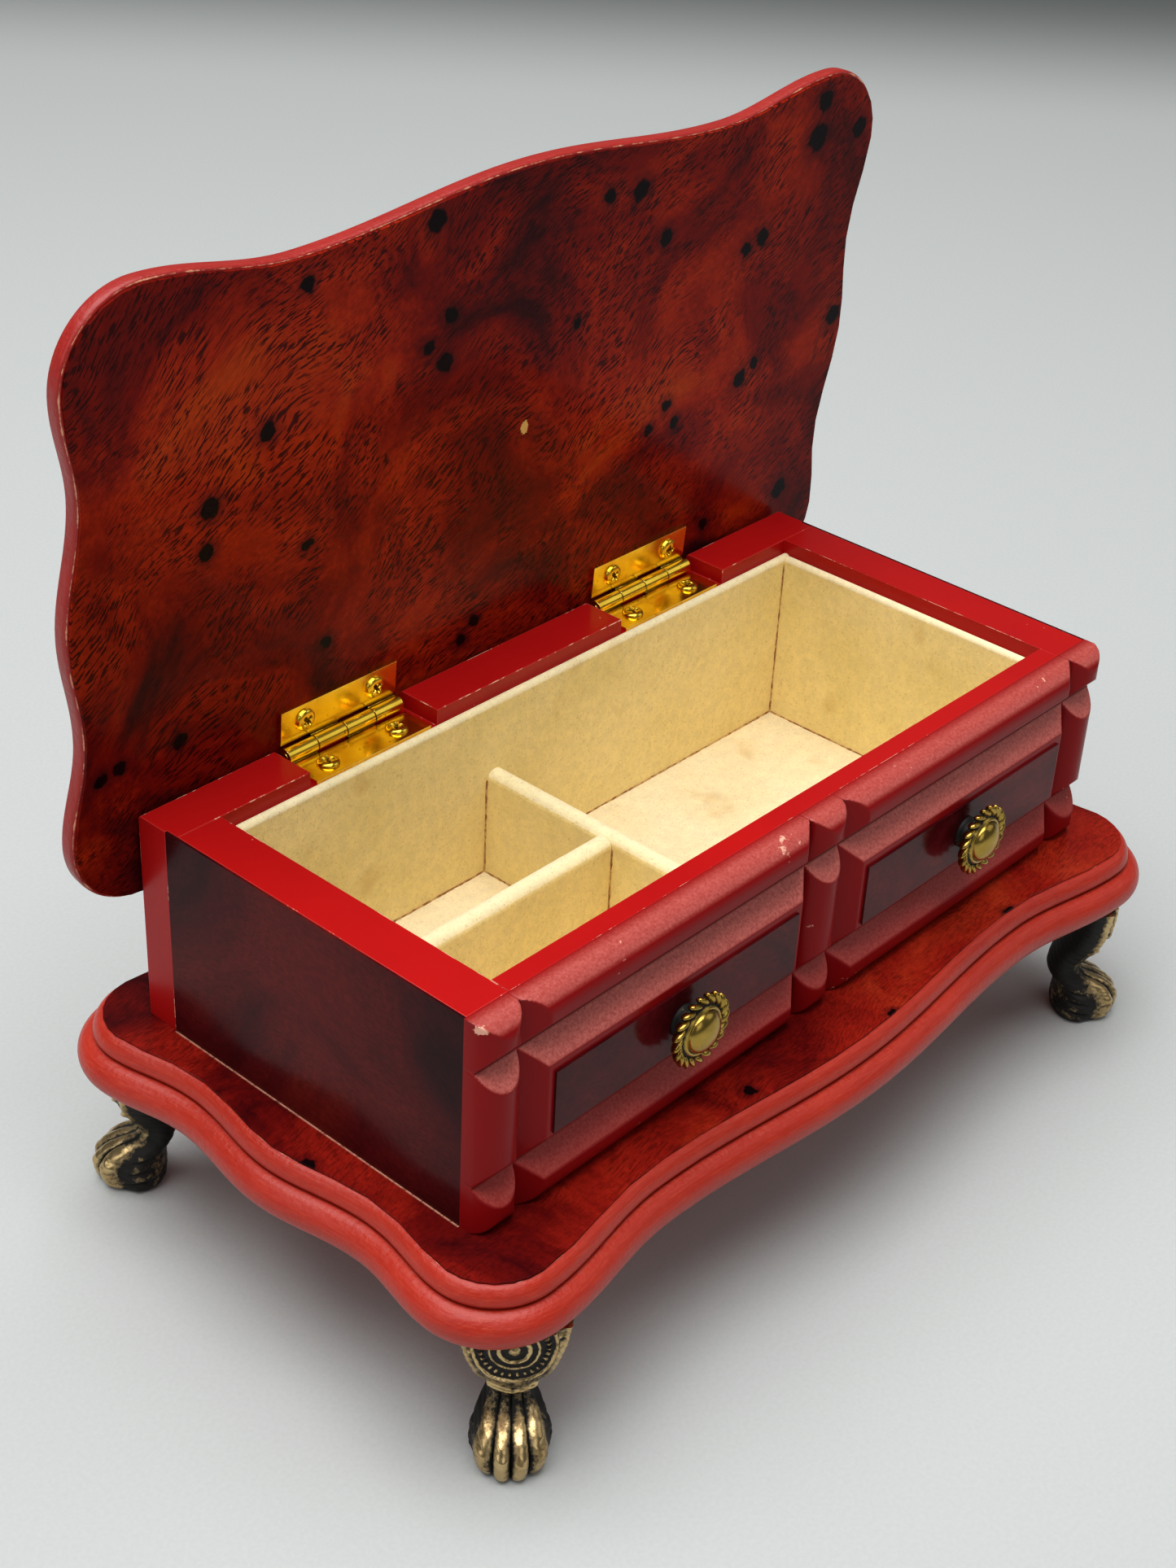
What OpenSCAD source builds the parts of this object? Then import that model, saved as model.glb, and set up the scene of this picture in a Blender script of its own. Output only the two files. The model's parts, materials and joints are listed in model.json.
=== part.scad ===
// Footed jewelry box: a lacquered case with a false drawer front on a moulded, serpentine-edged plinth with four
// paw feet, three lined compartments, and a lid of the same serpentine outline on two butt hinges.
// Origin: on the floor, under the middle of the case. +X to the right along the front, +Y to the back, +Z up.

/* [Case] */
// Width of the case over its side boards
case_w = 220; // [180:1:270]
// Depth of the case from the drawer fronts to the back
case_d = 106; // [88:1:130]
// Height of the case from the plinth to the rim
case_h = 53.5; // [44:0.5:66]
// Thickness of each side board with its veneer
side_t = 12.5; // [9:0.5:16]
// Thickness of the rear board
rear_t = 12.5; // [11:0.5:16]
// Thickness of the plain board behind the drawer front
inner_front_t = 5; // [4:0.5:8]
// Thickness of the moulded drawer front
front_t = 7.5; // [6:0.5:10]
// Thickness of every veneer sheet
veneer_t = 0.6; // [0.4:0.1:1]
// How far the side veneers run over the ends of the rear board
veneer_lap = 3.5; // [2:0.5:5]

/* [Drawer front] */
// Depth of the routed V-grooves
groove_depth = 4.5; // [3:0.5:5]
// Half of the width of a groove
groove_half_w = 5.3; // [4:0.1:6.5]
// Width of each half-round column
column_w = 11.8; // [9:0.2:14]
// Drop from the rim to the bottom of the upper groove
upper_groove_drop = 12; // [10.5:0.5:13]
// Height of the lower groove's bottom above the plinth
lower_groove_rise = 12; // [10.5:0.5:13]
// Radius of the rounded top and bottom edges
front_round_r = 5; // [3:0.5:6]
// Red margin left at the sides of each drawer veneer
veneer_margin_side = 1.6; // [1:0.1:3]
// Red margin left above each drawer veneer
veneer_margin_top = 2; // [1:0.1:3]
// Red margin left below each drawer veneer
veneer_margin_bottom = 1; // [0.5:0.1:3]

/* [Serpentine edge] */
// How far the plinth and the lid reach past the case at the front and the back
reach_front = 19.3; // [15:0.1:24]
// How far the plinth and the lid reach past the case at the sides
reach_side = 16.7; // [13:0.1:22]
// Depth of the hollows in the long edges
hollow_front = 5; // [2:0.1:6.5]
// Depth of the hollows in the short edges
hollow_side = 3.6; // [2:0.1:5]
// Radius of the rounded corners
corner_r = 20; // [16:0.5:24]
// Where the hollows of a long edge lie, as a part of the way from its middle to the corner
hollow_front_at = 0.63; // [0.5:0.01:0.7]
// Where the hollows of a short edge lie, as a part of the way from its middle to the corner
hollow_side_at = 0.54; // [0.45:0.01:0.6]

/* [Plinth and lid] */
// Thickness of the plinth
plinth_t = 15; // [12:0.5:20]
// Thickness of the lid
lid_t = 9; // [8.5:0.5:12]
// Height of the small quarter round above the groove of both mouldings
cove_h = 4.4; // [3:0.1:5]
// Distance from the widest edge to the outer veneer
veneer_inset = 6.2; // [5:0.1:7.5]
// Distance from the widest edge to the lining veneer of the lid
lining_inset = 0.8; // [0.5:0.1:1.5]
// Gap between the rim and the closed lid
lid_gap = 0.3; // [0.2:0.05:0.6]
// Opening angle at which the lid stands, counted from closed
lid_open = 86; // [60:1:91]

/* [Hinges] */
// Length of each butt hinge
hinge_l = 35.5; // [28:0.5:38]
// Distance of each hinge's middle from the middle of the box
hinge_x = 52; // [40:1:64]
// Thickness of a hinge leaf
leaf_t = 1; // [0.8:0.1:1.2]
// Outer radius of the knuckles
knuckle_r = 2.05; // [1.8:0.05:2.3]
// Radius of the hinge pin
pin_r = 1; // [0.8:0.05:1.2]
// Distance from the pin's axis to the back of the case
pin_inset = 1.5; // [1:0.1:1.5]
// Depth of the pin's axis below the rim
pin_drop = 2; // [1.9:0.05:2.4]
// Clear space between the recess wall and each end of the hinge
recess_side_gap = 2; // [1:0.25:3]
// Spacing of the two screws in a leaf
hinge_screw_spacing = 21.4; // [16:0.2:24]
// Distance from the pin's axis to the screws
hinge_screw_reach = 6.8; // [6:0.1:7.5]

/* [Lining and dividers] */
// Thickness of the lined cards on the walls
liner_t = 2.5; // [1.5:0.1:3]
// Thickness of the lined floor card
floor_t = 2.4; // [1.5:0.1:3]
// Drop from the rim to the top of the wall lining
liner_drop = 3.5; // [2:0.1:6]
// Thickness of the two dividers
divider_t = 5.2; // [4:0.1:7]
// Height of the dividers above the lined floor
divider_h = 29; // [20:0.5:36]
// Position of the long divider's middle, from the middle of the box
divider_x = -15; // [-30:1:30]
// Position of the short divider's middle, from the middle of the box
divider_y = 0; // [-10:1:10]

/* [Knobs] */
// Diameter of each drawer knob
knob_d = 18; // [14:0.5:20]
// How far each knob stands out from the drawer front
knob_out = 8.5; // [6:0.5:11]
// Radius of the knob screws
knob_screw_r = 1.5; // [1.25:0.05:1.75]

/* [Feet] */
// Height of the feet
foot_h = 38; // [32:0.5:44]
// Distance from the tip of the toes to the foot's axis
foot_toe = 12; // [10:0.5:13]
// Distance from the widest side edge of the plinth in to each foot's axis
foot_inset_side = 18.6; // [16:0.1:26]
// Distance from the widest front edge of the plinth in to each foot's axis
foot_inset_front = 12.4; // [12:0.1:20]
// Width of the paw across its toes
paw_w = 17.6; // [15:0.2:20]

/* [Hidden] */
$fn = 48;

// Colours
lacquer_red = [0.72, 0.08, 0.08];
moulding_red = [0.80, 0.22, 0.17];
burl_dark = [0.22, 0.10, 0.11];
burl_red = [0.40, 0.10, 0.06];
lining_cream = [0.88, 0.80, 0.60];
bright_brass = [0.85, 0.70, 0.15];
old_brass = [0.55, 0.47, 0.28];

// Levels and faces of the case
plinth_z = foot_h;
plinth_top = foot_h + plinth_t;
rim_z = plinth_top + case_h;
half_w = case_w / 2;
half_d = case_d / 2;
front_wall_t = inner_front_t + front_t;
inner_x = half_w - side_t;
inner_back = half_d - rear_t;
inner_front = -half_d + front_wall_t;
panel_back = -half_d + front_t;
floor_top = plinth_top + floor_t;
liner_top = rim_z - liner_drop;
clear_x = inner_x - liner_t;
clear_back = inner_back - liner_t;
clear_front = inner_front + liner_t;

// Serpentine outline
out_x = half_w + reach_side;
out_y = half_d + reach_front;
crest_x = out_x - corner_r;
crest_y = out_y - corner_r;
side_steps = 6;
corner_steps = 6;
long_steps = 10;

// Hinge geometry, with the lid closed
pin_y = half_d - pin_inset;
pin_z = rim_z - pin_drop;
lid_z = rim_z + lid_gap;
knuckle_count = 4;
knuckle_pitch = hinge_l / knuckle_count;
knuckle_gap = 0.3;
fit_gap = 0.05;
recess_clear = 0.25;
recess_floor = pin_z - knuckle_r - recess_clear;
recess_l = hinge_l + 2 * recess_side_gap;
leaf_w = rear_t - pin_inset;
edge_arris = 0.6;

// Screws: head radius, head height, shank radius, shank length
hinge_head_r = 2.75;
hinge_head_h = 1.15;
hinge_shank_r = 1.1;
case_screw_l = 14;
lid_screw_l = 6;
cross_w = 0.7;
cross_l = 3;
cross_depth = 0.6;
foot_head_r = 2.4;
foot_head_h = 1.2;
foot_shank_r = 1.2;
foot_screw_l = 10;
plinth_head_r = 3.6;
plinth_shank_r = 1.8;
plinth_screw_l = 38;
plinth_screw_y = 25;
knob_head_r = 2.9;
knob_head_h = 2;
knob_grip = 5;

// Feet
foot_plate_t = 1.6;
foot_plate_l = 17;
foot_plate_w = 17;
foot_plate_front = 3;
foot_screw_x = -9;
foot_screw_y = 5.2;
foot_at = [out_x - foot_inset_side, out_y - foot_inset_front];

// Drawer front
column_centre = half_w - column_w / 2;
inner_groove_x = column_w / 2;
outer_groove_x = half_w - column_w;
panel_flat_in = inner_groove_x + groove_half_w;
panel_flat_out = outer_groove_x - groove_half_w;
upper_groove_z = rim_z - upper_groove_drop;
lower_groove_z = plinth_top + lower_groove_rise;
drawer_top = upper_groove_z - groove_half_w;
drawer_bottom = lower_groove_z + groove_half_w;
veneer_z0 = drawer_bottom + veneer_margin_bottom;
veneer_z1 = drawer_top - veneer_margin_top;
veneer_x0 = panel_flat_in + veneer_margin_side;
veneer_x1 = panel_flat_out - veneer_margin_side;
knob_x = (veneer_x0 + veneer_x1) / 2;
knob_z = (veneer_z0 + veneer_z1) / 2;
knob_base_y = -half_d - veneer_t;

// Distance across a serpentine edge at a place t along it, between crests at 0 and at end
function hollow_wave(t, at, end, depth) =
    let (u = t < at ? t / at : (end - t) / (end - at))
    depth * (1 - cos(180 * u)) / 2;

// One quarter of the outline, from the middle of the right edge to just before the middle of the rear edge
quarter = concat(
    [for (i = [0:side_steps - 1])
        let (y = crest_y * i / side_steps)
        [out_x - hollow_wave(y, hollow_side_at * crest_y, crest_y, hollow_side), y]],
    [for (i = [0:corner_steps - 1])
        let (a = 90 * i / corner_steps)
        [crest_x + corner_r * cos(a), crest_y + corner_r * sin(a)]],
    [for (i = [0:long_steps - 1])
        let (x = crest_x * (1 - i / long_steps))
        [x, out_y - hollow_wave(x, hollow_front_at * crest_x, crest_x, hollow_front)]]);
rear_half = concat(quarter, [[0, out_y]], [for (i = [len(quarter) - 1:-1:1]) [-quarter[i][0], quarter[i][1]]]);
outline = concat(rear_half, [for (p = rear_half) -p]);
outline_n = len(outline);

function edge_normal(i) =
    let (d = outline[(i + 1) % outline_n] - outline[(i + outline_n - 1) % outline_n])
    [d[1], -d[0]] / norm(d);

function outline_inset(inset) = [for (i = [0:outline_n - 1]) outline[i] - inset * edge_normal(i)];

// Moulding profiles, as [distance in from the widest edge, height above the bottom face]
function bead(h, steps) =
    [for (i = [0:steps])
        let (a = -75 + 150 * i / steps)
        [h / 2 * (1 - cos(a)), h / 2 + h / 2 * sin(a) / sin(75)]];

function quarter_round(z0, steps) =
    let (start = veneer_inset * 0.6)
    [for (i = [0:steps])
        let (a = 90 * i / steps)
        [veneer_inset + 0.2 - (veneer_inset + 0.2 - start) * cos(a), z0 + cove_h * sin(a)]];

plinth_board_t = plinth_t - veneer_t;
lid_board_t = lid_t - 2 * veneer_t;
plinth_profile = concat(bead(plinth_board_t - cove_h - 0.4, 6), quarter_round(plinth_board_t - cove_h, 4));
lid_profile = concat(bead(lid_board_t - cove_h - 0.3, 4), quarter_round(lid_board_t - cove_h, 3));

// Closed board with a moulded edge: one ring of the outline for each point of the profile
module moulded_board(profile) {
    rings = len(profile);
    points = [for (p = profile) for (q = outline_inset(p[0])) [q[0], q[1], p[1]]];
    walls = [for (k = [0:rings - 2]) for (i = [0:outline_n - 1])
        let (a = k * outline_n + i, b = k * outline_n + (i + 1) % outline_n)
        each [[a, a + outline_n, b + outline_n], [a, b + outline_n, b]]];
    bottom = [for (i = [0:outline_n - 1]) i];
    top = [for (i = [outline_n - 1:-1:0]) (rings - 1) * outline_n + i];
    polyhedron(points, concat(walls, [bottom], [top]));
}

module outline_sheet(inset, t) {
    linear_extrude(t) polygon(outline_inset(inset));
}

// Box from its lowest corner to its highest corner
module block(low, high) {
    translate(low) cube(high - low);
}

// Screw standing on z = 0 with its head above and its shank below
module pan_screw(head_r, head_h, shank_r, shank_l) {
    difference() {
        union() {
            translate([0, 0, -shank_l]) cylinder(r = shank_r, h = shank_l + head_h / 2);
            intersection() {
                cylinder(r = head_r, h = head_h);
                translate([0, 0, head_h - dome_r(head_r, head_h)]) sphere(r = dome_r(head_r, head_h), $fn = 96);
            }
        }
        for (turn = [0, 90])
            rotate([0, 0, turn])
                translate([-cross_l / 2, -cross_w / 2, head_h - cross_depth])
                    cube([cross_l, cross_w, cross_depth + 1]);
    }
}

// Sphere radius that takes half of the head's height off at its edge
function dome_r(head_r, head_h) = (head_r * head_r + head_h * head_h / 4) / head_h;

// ---- Places that repeat ----

module at_feet() {
    for (sx = [-1, 1])
        for (sy = [-1, 1])
            foot_frame(sx, sy) children();
}

// Local frame of a foot: +X towards the toes, origin on the floor under the foot's axis
module foot_frame(sx, sy) {
    translate([sx * foot_at[0], sy * foot_at[1], 0]) rotate([0, 0, atan2(sy, sx)]) children();
}

module at_foot_screws(z) {
    at_feet()
        for (side = [-1, 1])
            translate([foot_screw_x, side * foot_screw_y, z]) children();
}

module at_plinth_screws(z) {
    for (sx = [-1, 1])
        for (sy = [-1, 1])
            translate([sx * (half_w - side_t / 2), sy * plinth_screw_y, z]) children();
}

module at_hinge_screws(z) {
    for (sx = [-1, 1])
        for (side = [-1, 1])
            translate([sx * hinge_x + side * hinge_screw_spacing / 2, pin_y - hinge_screw_reach, z]) children();
}

module at_knobs() {
    for (sx = [-1, 1])
        translate([sx * knob_x, 0, knob_z]) rotate([90, 0, 0]) children();
}

// Turns what is modelled with the lid closed to the angle at which the lid stands
module lid_pose() {
    translate([0, pin_y, pin_z]) rotate([-lid_open, 0, 0]) translate([0, -pin_y, -pin_z]) children();
}

// ---- Plinth ----

module plinth_board() {
    color(moulding_red)
        difference() {
            translate([0, 0, plinth_z]) moulded_board(plinth_profile);
            at_foot_screws(plinth_z - 1) cylinder(r = foot_shank_r + fit_gap, h = foot_screw_l + 1.5);
            at_plinth_screws(plinth_z - 1) cylinder(r = plinth_shank_r + fit_gap, h = plinth_t + 2);
            at_plinth_screws(plinth_z) plinth_screw_seat(plinth_head_r + fit_gap);
        }
}

// Countersink of a plinth screw, widest at the underside of the plinth
module plinth_screw_seat(r) {
    translate([0, 0, -0.01]) cylinder(r1 = r, r2 = plinth_shank_r, h = plinth_head_r - plinth_shank_r, $fn = 64);
}

module plinth_veneer() {
    color(burl_red)
        difference() {
            translate([0, 0, plinth_top - veneer_t]) outline_sheet(veneer_inset, veneer_t);
            at_plinth_screws(plinth_z) cylinder(r = plinth_shank_r + fit_gap, h = plinth_t + 2);
        }
}

module plinth_screws() {
    color(bright_brass)
        at_plinth_screws(plinth_z) {
            cylinder(r1 = plinth_head_r, r2 = plinth_shank_r, h = plinth_head_r - plinth_shank_r, $fn = 64);
            cylinder(r = plinth_shank_r, h = plinth_screw_l);
        }
}

// ---- Case boards ----

module side_board(sx) {
    color(lacquer_red)
        difference() {
            block([sx > 0 ? inner_x : -half_w + veneer_t, panel_back, plinth_top],
                  [sx > 0 ? half_w - veneer_t : -inner_x, inner_back, rim_z]);
            at_plinth_screws(plinth_z) cylinder(r = plinth_shank_r + fit_gap, h = plinth_screw_l + 1);
        }
}

module rear_board() {
    color(lacquer_red)
        difference() {
            rotate([90, 0, 90])
                translate([0, 0, -half_w])
                    linear_extrude(case_w)
                        polygon([[inner_back, plinth_top], [half_d, plinth_top], [half_d, rim_z - edge_arris],
                                 [half_d - edge_arris, rim_z], [inner_back, rim_z]]);
            for (sx = [-1, 1]) {
                block([sx * hinge_x - recess_l / 2, inner_back - 1, recess_floor],
                      [sx * hinge_x + recess_l / 2, half_d + 1, rim_z + 1]);
                block([sx * (half_w + 1) - 1 - veneer_t, inner_back - 1, plinth_top - 1],
                      [sx * (half_w + 1) + 1 + veneer_t, inner_back + veneer_lap, rim_z + 1]);
            }
            at_hinge_screws(recess_floor - case_screw_l)
                cylinder(r = hinge_shank_r + fit_gap, h = case_screw_l + 1);
        }
}

module front_inner_board() {
    color(lacquer_red)
        difference() {
            block([-inner_x, panel_back, plinth_top], [inner_x, inner_front, rim_z]);
            at_knobs() translate([0, 0, -inner_front - 1]) cylinder(r = knob_screw_r + fit_gap, h = front_wall_t);
            at_knobs()
                translate([0, 0, -inner_front - 1])
                    cylinder(r = knob_head_r + 0.3, h = knob_head_h + 1 + fit_gap);
        }
}

// Half-round column edge in plan, from left to right, as points [x, depth behind the front]
function column_arc(x) =
    let (r = (column_w * column_w / 4 + groove_depth * groove_depth) / (2 * groove_depth),
         reach = asin(column_w / 2 / r))
    [for (i = [0:8])
        let (a = -reach + 2 * reach * i / 8)
        [x + r * sin(a), r - r * cos(a)]];

plan_edge = concat(
    column_arc(-column_centre), [[-panel_flat_out, 0], [-panel_flat_in, 0]],
    column_arc(0), [[panel_flat_in, 0], [panel_flat_out, 0]], column_arc(column_centre));

module front_panel() {
    color(lacquer_red)
        difference() {
            intersection() {
                translate([0, 0, plinth_top])
                    linear_extrude(case_h)
                        polygon(concat([[half_w, panel_back], [-half_w, panel_back]],
                                       [for (p = plan_edge) [p[0], p[1] - half_d]]));
                rotate([90, 0, 90])
                    translate([0, 0, -half_w - 1])
                        linear_extrude(case_w + 2) side_section();
            }
            at_knobs() translate([0, 0, -panel_back - 1]) cylinder(r = knob_screw_r + fit_gap, h = front_t + 2);
        }
}

// Section of the drawer front across its height: round top and bottom edges with two grooves between
module side_section() {
    polygon(concat(
        [[panel_back + 1, plinth_top], [panel_back + 1, rim_z]],
        round_points(90, rim_z - front_round_r),
        groove_points(upper_groove_z), groove_points(lower_groove_z),
        round_points(180, plinth_top + front_round_r)));
}

// Quarter circle of the front edge about a centre at height z, from a starting angle
function round_points(start, z) =
    [for (i = [0:6])
        let (a = start + 90 * i / 6)
        [-half_d + front_round_r + front_round_r * cos(a), z + front_round_r * sin(a)]];

function groove_points(z) =
    [[-half_d, z + groove_half_w], [-half_d + groove_depth, z], [-half_d, z - groove_half_w]];

module side_veneer(sx) {
    color(burl_dark)
        block([sx > 0 ? half_w - veneer_t : -half_w, panel_back, plinth_top],
              [sx > 0 ? half_w : -half_w + veneer_t, inner_back + veneer_lap, rim_z]);
}

module drawer_veneer(sx) {
    color(burl_dark)
        difference() {
            block([sx > 0 ? veneer_x0 : -veneer_x1, -half_d - veneer_t, veneer_z0],
                  [sx > 0 ? veneer_x1 : -veneer_x0, -half_d, veneer_z1]);
            at_knobs() cylinder(r = knob_screw_r + fit_gap, h = case_d);
        }
}

// ---- Lining ----

module liner_floor() {
    color(lining_cream) block([-inner_x, inner_front, plinth_top], [inner_x, inner_back, floor_top]);
}

// Upright card with a round top, between two corners on the lined floor
module card(low, high, top) {
    along_x = high[0] - low[0] > high[1] - low[1];
    t = along_x ? high[1] - low[1] : high[0] - low[0];
    run = along_x ? high[0] - low[0] : high[1] - low[1];
    middle = along_x ? [low[0], (low[1] + high[1]) / 2] : [(low[0] + high[0]) / 2, high[1]];
    block([low[0], low[1], floor_top], [high[0], high[1], top - t / 2]);
    translate([middle[0], middle[1], top - t / 2])
        rotate(along_x ? [0, 90, 0] : [90, 0, 0]) cylinder(d = t, h = run);
}

module liner_rear() {
    color(lining_cream) card([-inner_x, clear_back], [inner_x, inner_back], liner_top);
}

module liner_front() {
    color(lining_cream) card([-inner_x, inner_front], [inner_x, clear_front], liner_top);
}

module liner_side(sx) {
    color(lining_cream)
        card([sx > 0 ? clear_x : -inner_x, clear_front], [sx > 0 ? inner_x : -clear_x, clear_back], liner_top);
}

module divider_long() {
    color(lining_cream)
        card([divider_x - divider_t / 2, clear_front], [divider_x + divider_t / 2, clear_back],
             floor_top + divider_h);
}

module divider_short() {
    color(lining_cream)
        card([-clear_x, divider_y - divider_t / 2], [divider_x - divider_t / 2, divider_y + divider_t / 2],
             floor_top + divider_h - 0.3);
}

// ---- Knobs ----

module knob(sx) {
    r = knob_d / 2;
    color(old_brass)
        translate([sx * knob_x, knob_base_y, knob_z])
            rotate([90, 0, 0])
                difference() {
                    rotate_extrude()
                        polygon(concat(
                            [[0, 0], [r * 0.42, 0], [r * 0.42, 0.6], [r * 0.34, 1.2], [r * 0.34, knob_out * 0.32],
                             [r * 0.8, knob_out * 0.36]],
                            [for (i = [0:6])
                                let (a = -70 + 160 * i / 6)
                                [r - 1.6 + 1.6 * cos(a), knob_out * 0.58 + 1.6 * sin(a)]],
                            [for (i = [0:6])
                                let (a = 90 * i / 6)
                                [r * 0.72 * cos(a), knob_out * 0.72 + knob_out * 0.28 * sin(a)]]));
                    translate([0, 0, -1]) cylinder(r = knob_screw_r + fit_gap, h = knob_grip + 1.5);
                }
}

module knob_screws() {
    shank = front_wall_t - knob_head_h + veneer_t + knob_grip;
    color(bright_brass)
        at_knobs()
            translate([0, 0, -inner_front]) {
                cylinder(r = knob_head_r, h = knob_head_h);
                cylinder(r = knob_screw_r, h = knob_head_h + shank);
            }
}

// ---- Feet ----

// Cast paw foot in its local frame: mounting plate, knee, ankle and four toes
module paw_foot() {
    difference() {
        union() {
            translate([foot_plate_front - foot_plate_l, -foot_plate_w / 2, foot_h - foot_plate_t])
                cube([foot_plate_l, foot_plate_w, foot_plate_t]);
            hull() {
                translate([-1, 0, foot_h - foot_plate_t - 2]) scale([0.72, 1, 1]) cylinder(r = 10.6, h = 2, $fn = 28);
                translate([-1, 0, foot_h - 12]) scale([0.75, 1, 1]) sphere(r = 7.2, $fn = 20);
            }
            hull() {
                translate([-1, 0, foot_h - 13]) scale([0.75, 1, 1]) sphere(r = 6.4, $fn = 20);
                translate([-2.5, 0, 13]) scale([0.8, 1, 1]) sphere(r = 5.2, $fn = 20);
            }
            hull() {
                translate([-2.5, 0, 14]) scale([0.8, 1, 1]) sphere(r = 5.2, $fn = 20);
                translate([-0.5, 0, 4.5]) scale([0.8, 1, 1]) cylinder(r = paw_w / 2 - 1, h = 2, $fn = 28);
                translate([-1, 0, 0]) scale([0.8, 1, 1]) cylinder(r = paw_w / 2 - 1.4, h = 1, $fn = 28);
            }
            for (i = [-1.5:1:1.5]) toe(i * paw_w / 4.25, abs(i) > 1 ? 1.6 : 0);
        }
        for (side = [-1, 1])
            translate([foot_screw_x, side * foot_screw_y, foot_h - foot_plate_t - 1])
                cylinder(r = foot_shank_r + fit_gap, h = foot_plate_t + 2);
        foot_screw_clearance();
    }
}

// Toe from the instep to the floor, at a place y across the paw and set back from the tip
module toe(y, back) {
    toe_r = paw_w / 8.4;
    hull() {
        translate([0, y * 0.72, 9.5]) sphere(r = toe_r, $fn = 16);
        translate([foot_toe - back - toe_r - 1.2, y * 0.96, 6]) sphere(r = toe_r, $fn = 16);
        translate([foot_toe - back - toe_r, y * 0.98, toe_r]) sphere(r = toe_r, $fn = 16);
    }
}

// Room for a foot screw's head and for the driver under the mounting plate
module foot_screw_clearance() {
    for (side = [-1, 1])
        translate([foot_screw_x, side * foot_screw_y, foot_h - foot_plate_t - 14])
            cylinder(r = foot_head_r + 0.3, h = 14);
}

module foot(sx, sy) {
    color(old_brass) foot_frame(sx, sy) paw_foot();
}

module foot_screws() {
    color(bright_brass)
        at_foot_screws(foot_h - foot_plate_t)
            rotate([180, 0, 0]) pan_screw(foot_head_r, foot_head_h, foot_shank_r, foot_screw_l);
}

// ---- Hinges, modelled with the lid closed ----

module knuckle(i) {
    translate([i * knuckle_pitch + knuckle_gap / 2 - hinge_l / 2, 0, 0])
        rotate([0, 90, 0]) cylinder(r = knuckle_r, h = knuckle_pitch - knuckle_gap);
}

// Leaf with its knuckles in the hinge's frame: pin axis along X through the origin, leaf towards -Y
module hinge_leaf(first, z0) {
    difference() {
        union() {
            translate([-hinge_l / 2, -leaf_w, z0]) cube([hinge_l, leaf_w, leaf_t]);
            for (i = [first, first + 2]) knuckle(i);
        }
        for (i = [1 - first, 3 - first])
            translate([i * knuckle_pitch - knuckle_gap / 2 - hinge_l / 2, -knuckle_r - recess_clear, -5])
                cube([knuckle_pitch + knuckle_gap, 2 * knuckle_r + 2, 10]);
        translate([-hinge_l, 0, 0]) rotate([0, 90, 0]) cylinder(r = pin_r + fit_gap, h = 2 * hinge_l);
        for (side = [-1, 1])
            translate([side * hinge_screw_spacing / 2, -hinge_screw_reach, z0 - 1])
                cylinder(r = hinge_shank_r + fit_gap, h = leaf_t + 2);
    }
}

module hinge_leaf_case(sx) {
    color(bright_brass)
        translate([sx * hinge_x, pin_y, pin_z]) hinge_leaf(0, recess_floor - pin_z);
}

module hinge_leaf_lid(sx) {
    color(bright_brass)
        lid_pose() translate([sx * hinge_x, pin_y, pin_z]) hinge_leaf(1, lid_z - pin_z - leaf_t);
}

module hinge_pin(sx) {
    color(bright_brass)
        translate([sx * hinge_x - hinge_l / 2, pin_y, pin_z]) rotate([0, 90, 0]) cylinder(r = pin_r, h = hinge_l);
}

module hinge_screws_case() {
    color(bright_brass)
        at_hinge_screws(recess_floor + leaf_t)
            pan_screw(hinge_head_r, hinge_head_h, hinge_shank_r, case_screw_l);
}

module hinge_screws_lid() {
    color(bright_brass)
        lid_pose()
            at_hinge_screws(lid_z - leaf_t)
                rotate([180, 0, 0]) pan_screw(hinge_head_r, hinge_head_h, hinge_shank_r, lid_screw_l);
}

// ---- Lid ----

module lid_screw_holes() {
    at_hinge_screws(lid_z - 1) cylinder(r = hinge_shank_r + fit_gap, h = lid_screw_l - leaf_t + 1.5);
}

module lid_board() {
    color(moulding_red)
        lid_pose()
            difference() {
                translate([0, 0, lid_z + veneer_t]) moulded_board(lid_profile);
                lid_screw_holes();
            }
}

module lid_inner_veneer() {
    color(burl_red)
        lid_pose()
            difference() {
                translate([0, 0, lid_z]) outline_sheet(lining_inset, veneer_t);
                lid_screw_holes();
            }
}

module lid_outer_veneer() {
    color(burl_red)
        lid_pose() translate([0, 0, lid_z + lid_t - veneer_t]) outline_sheet(veneer_inset, veneer_t);
}

plinth_board();
plinth_veneer();
plinth_screws();
side_board(-1);  // side_board_left
side_board(1);  // side_board_right
rear_board();
front_inner_board();
front_panel();
side_veneer(-1);  // side_veneer_left
side_veneer(1);  // side_veneer_right
drawer_veneer(-1);  // drawer_veneer_left
drawer_veneer(1);  // drawer_veneer_right
liner_floor();
liner_rear();
liner_front();
liner_side(-1);  // liner_left
liner_side(1);  // liner_right
divider_long();
divider_short();
knob(-1);  // knob_left
knob(1);  // knob_right
knob_screws();
foot(-1, -1);  // foot_front_left
foot(1, -1);  // foot_front_right
foot(-1, 1);  // foot_rear_left
foot(1, 1);  // foot_rear_right
foot_screws();
hinge_leaf_case(-1);  // hinge_leaf_case_left
hinge_leaf_case(1);  // hinge_leaf_case_right
hinge_pin(-1);  // hinge_pin_left
hinge_pin(1);  // hinge_pin_right
hinge_screws_case();
hinge_screws_lid();
lid_board();
lid_inner_veneer();
lid_outer_veneer();
hinge_leaf_lid(-1);  // hinge_leaf_lid_left
hinge_leaf_lid(1);  // hinge_leaf_lid_right
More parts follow.
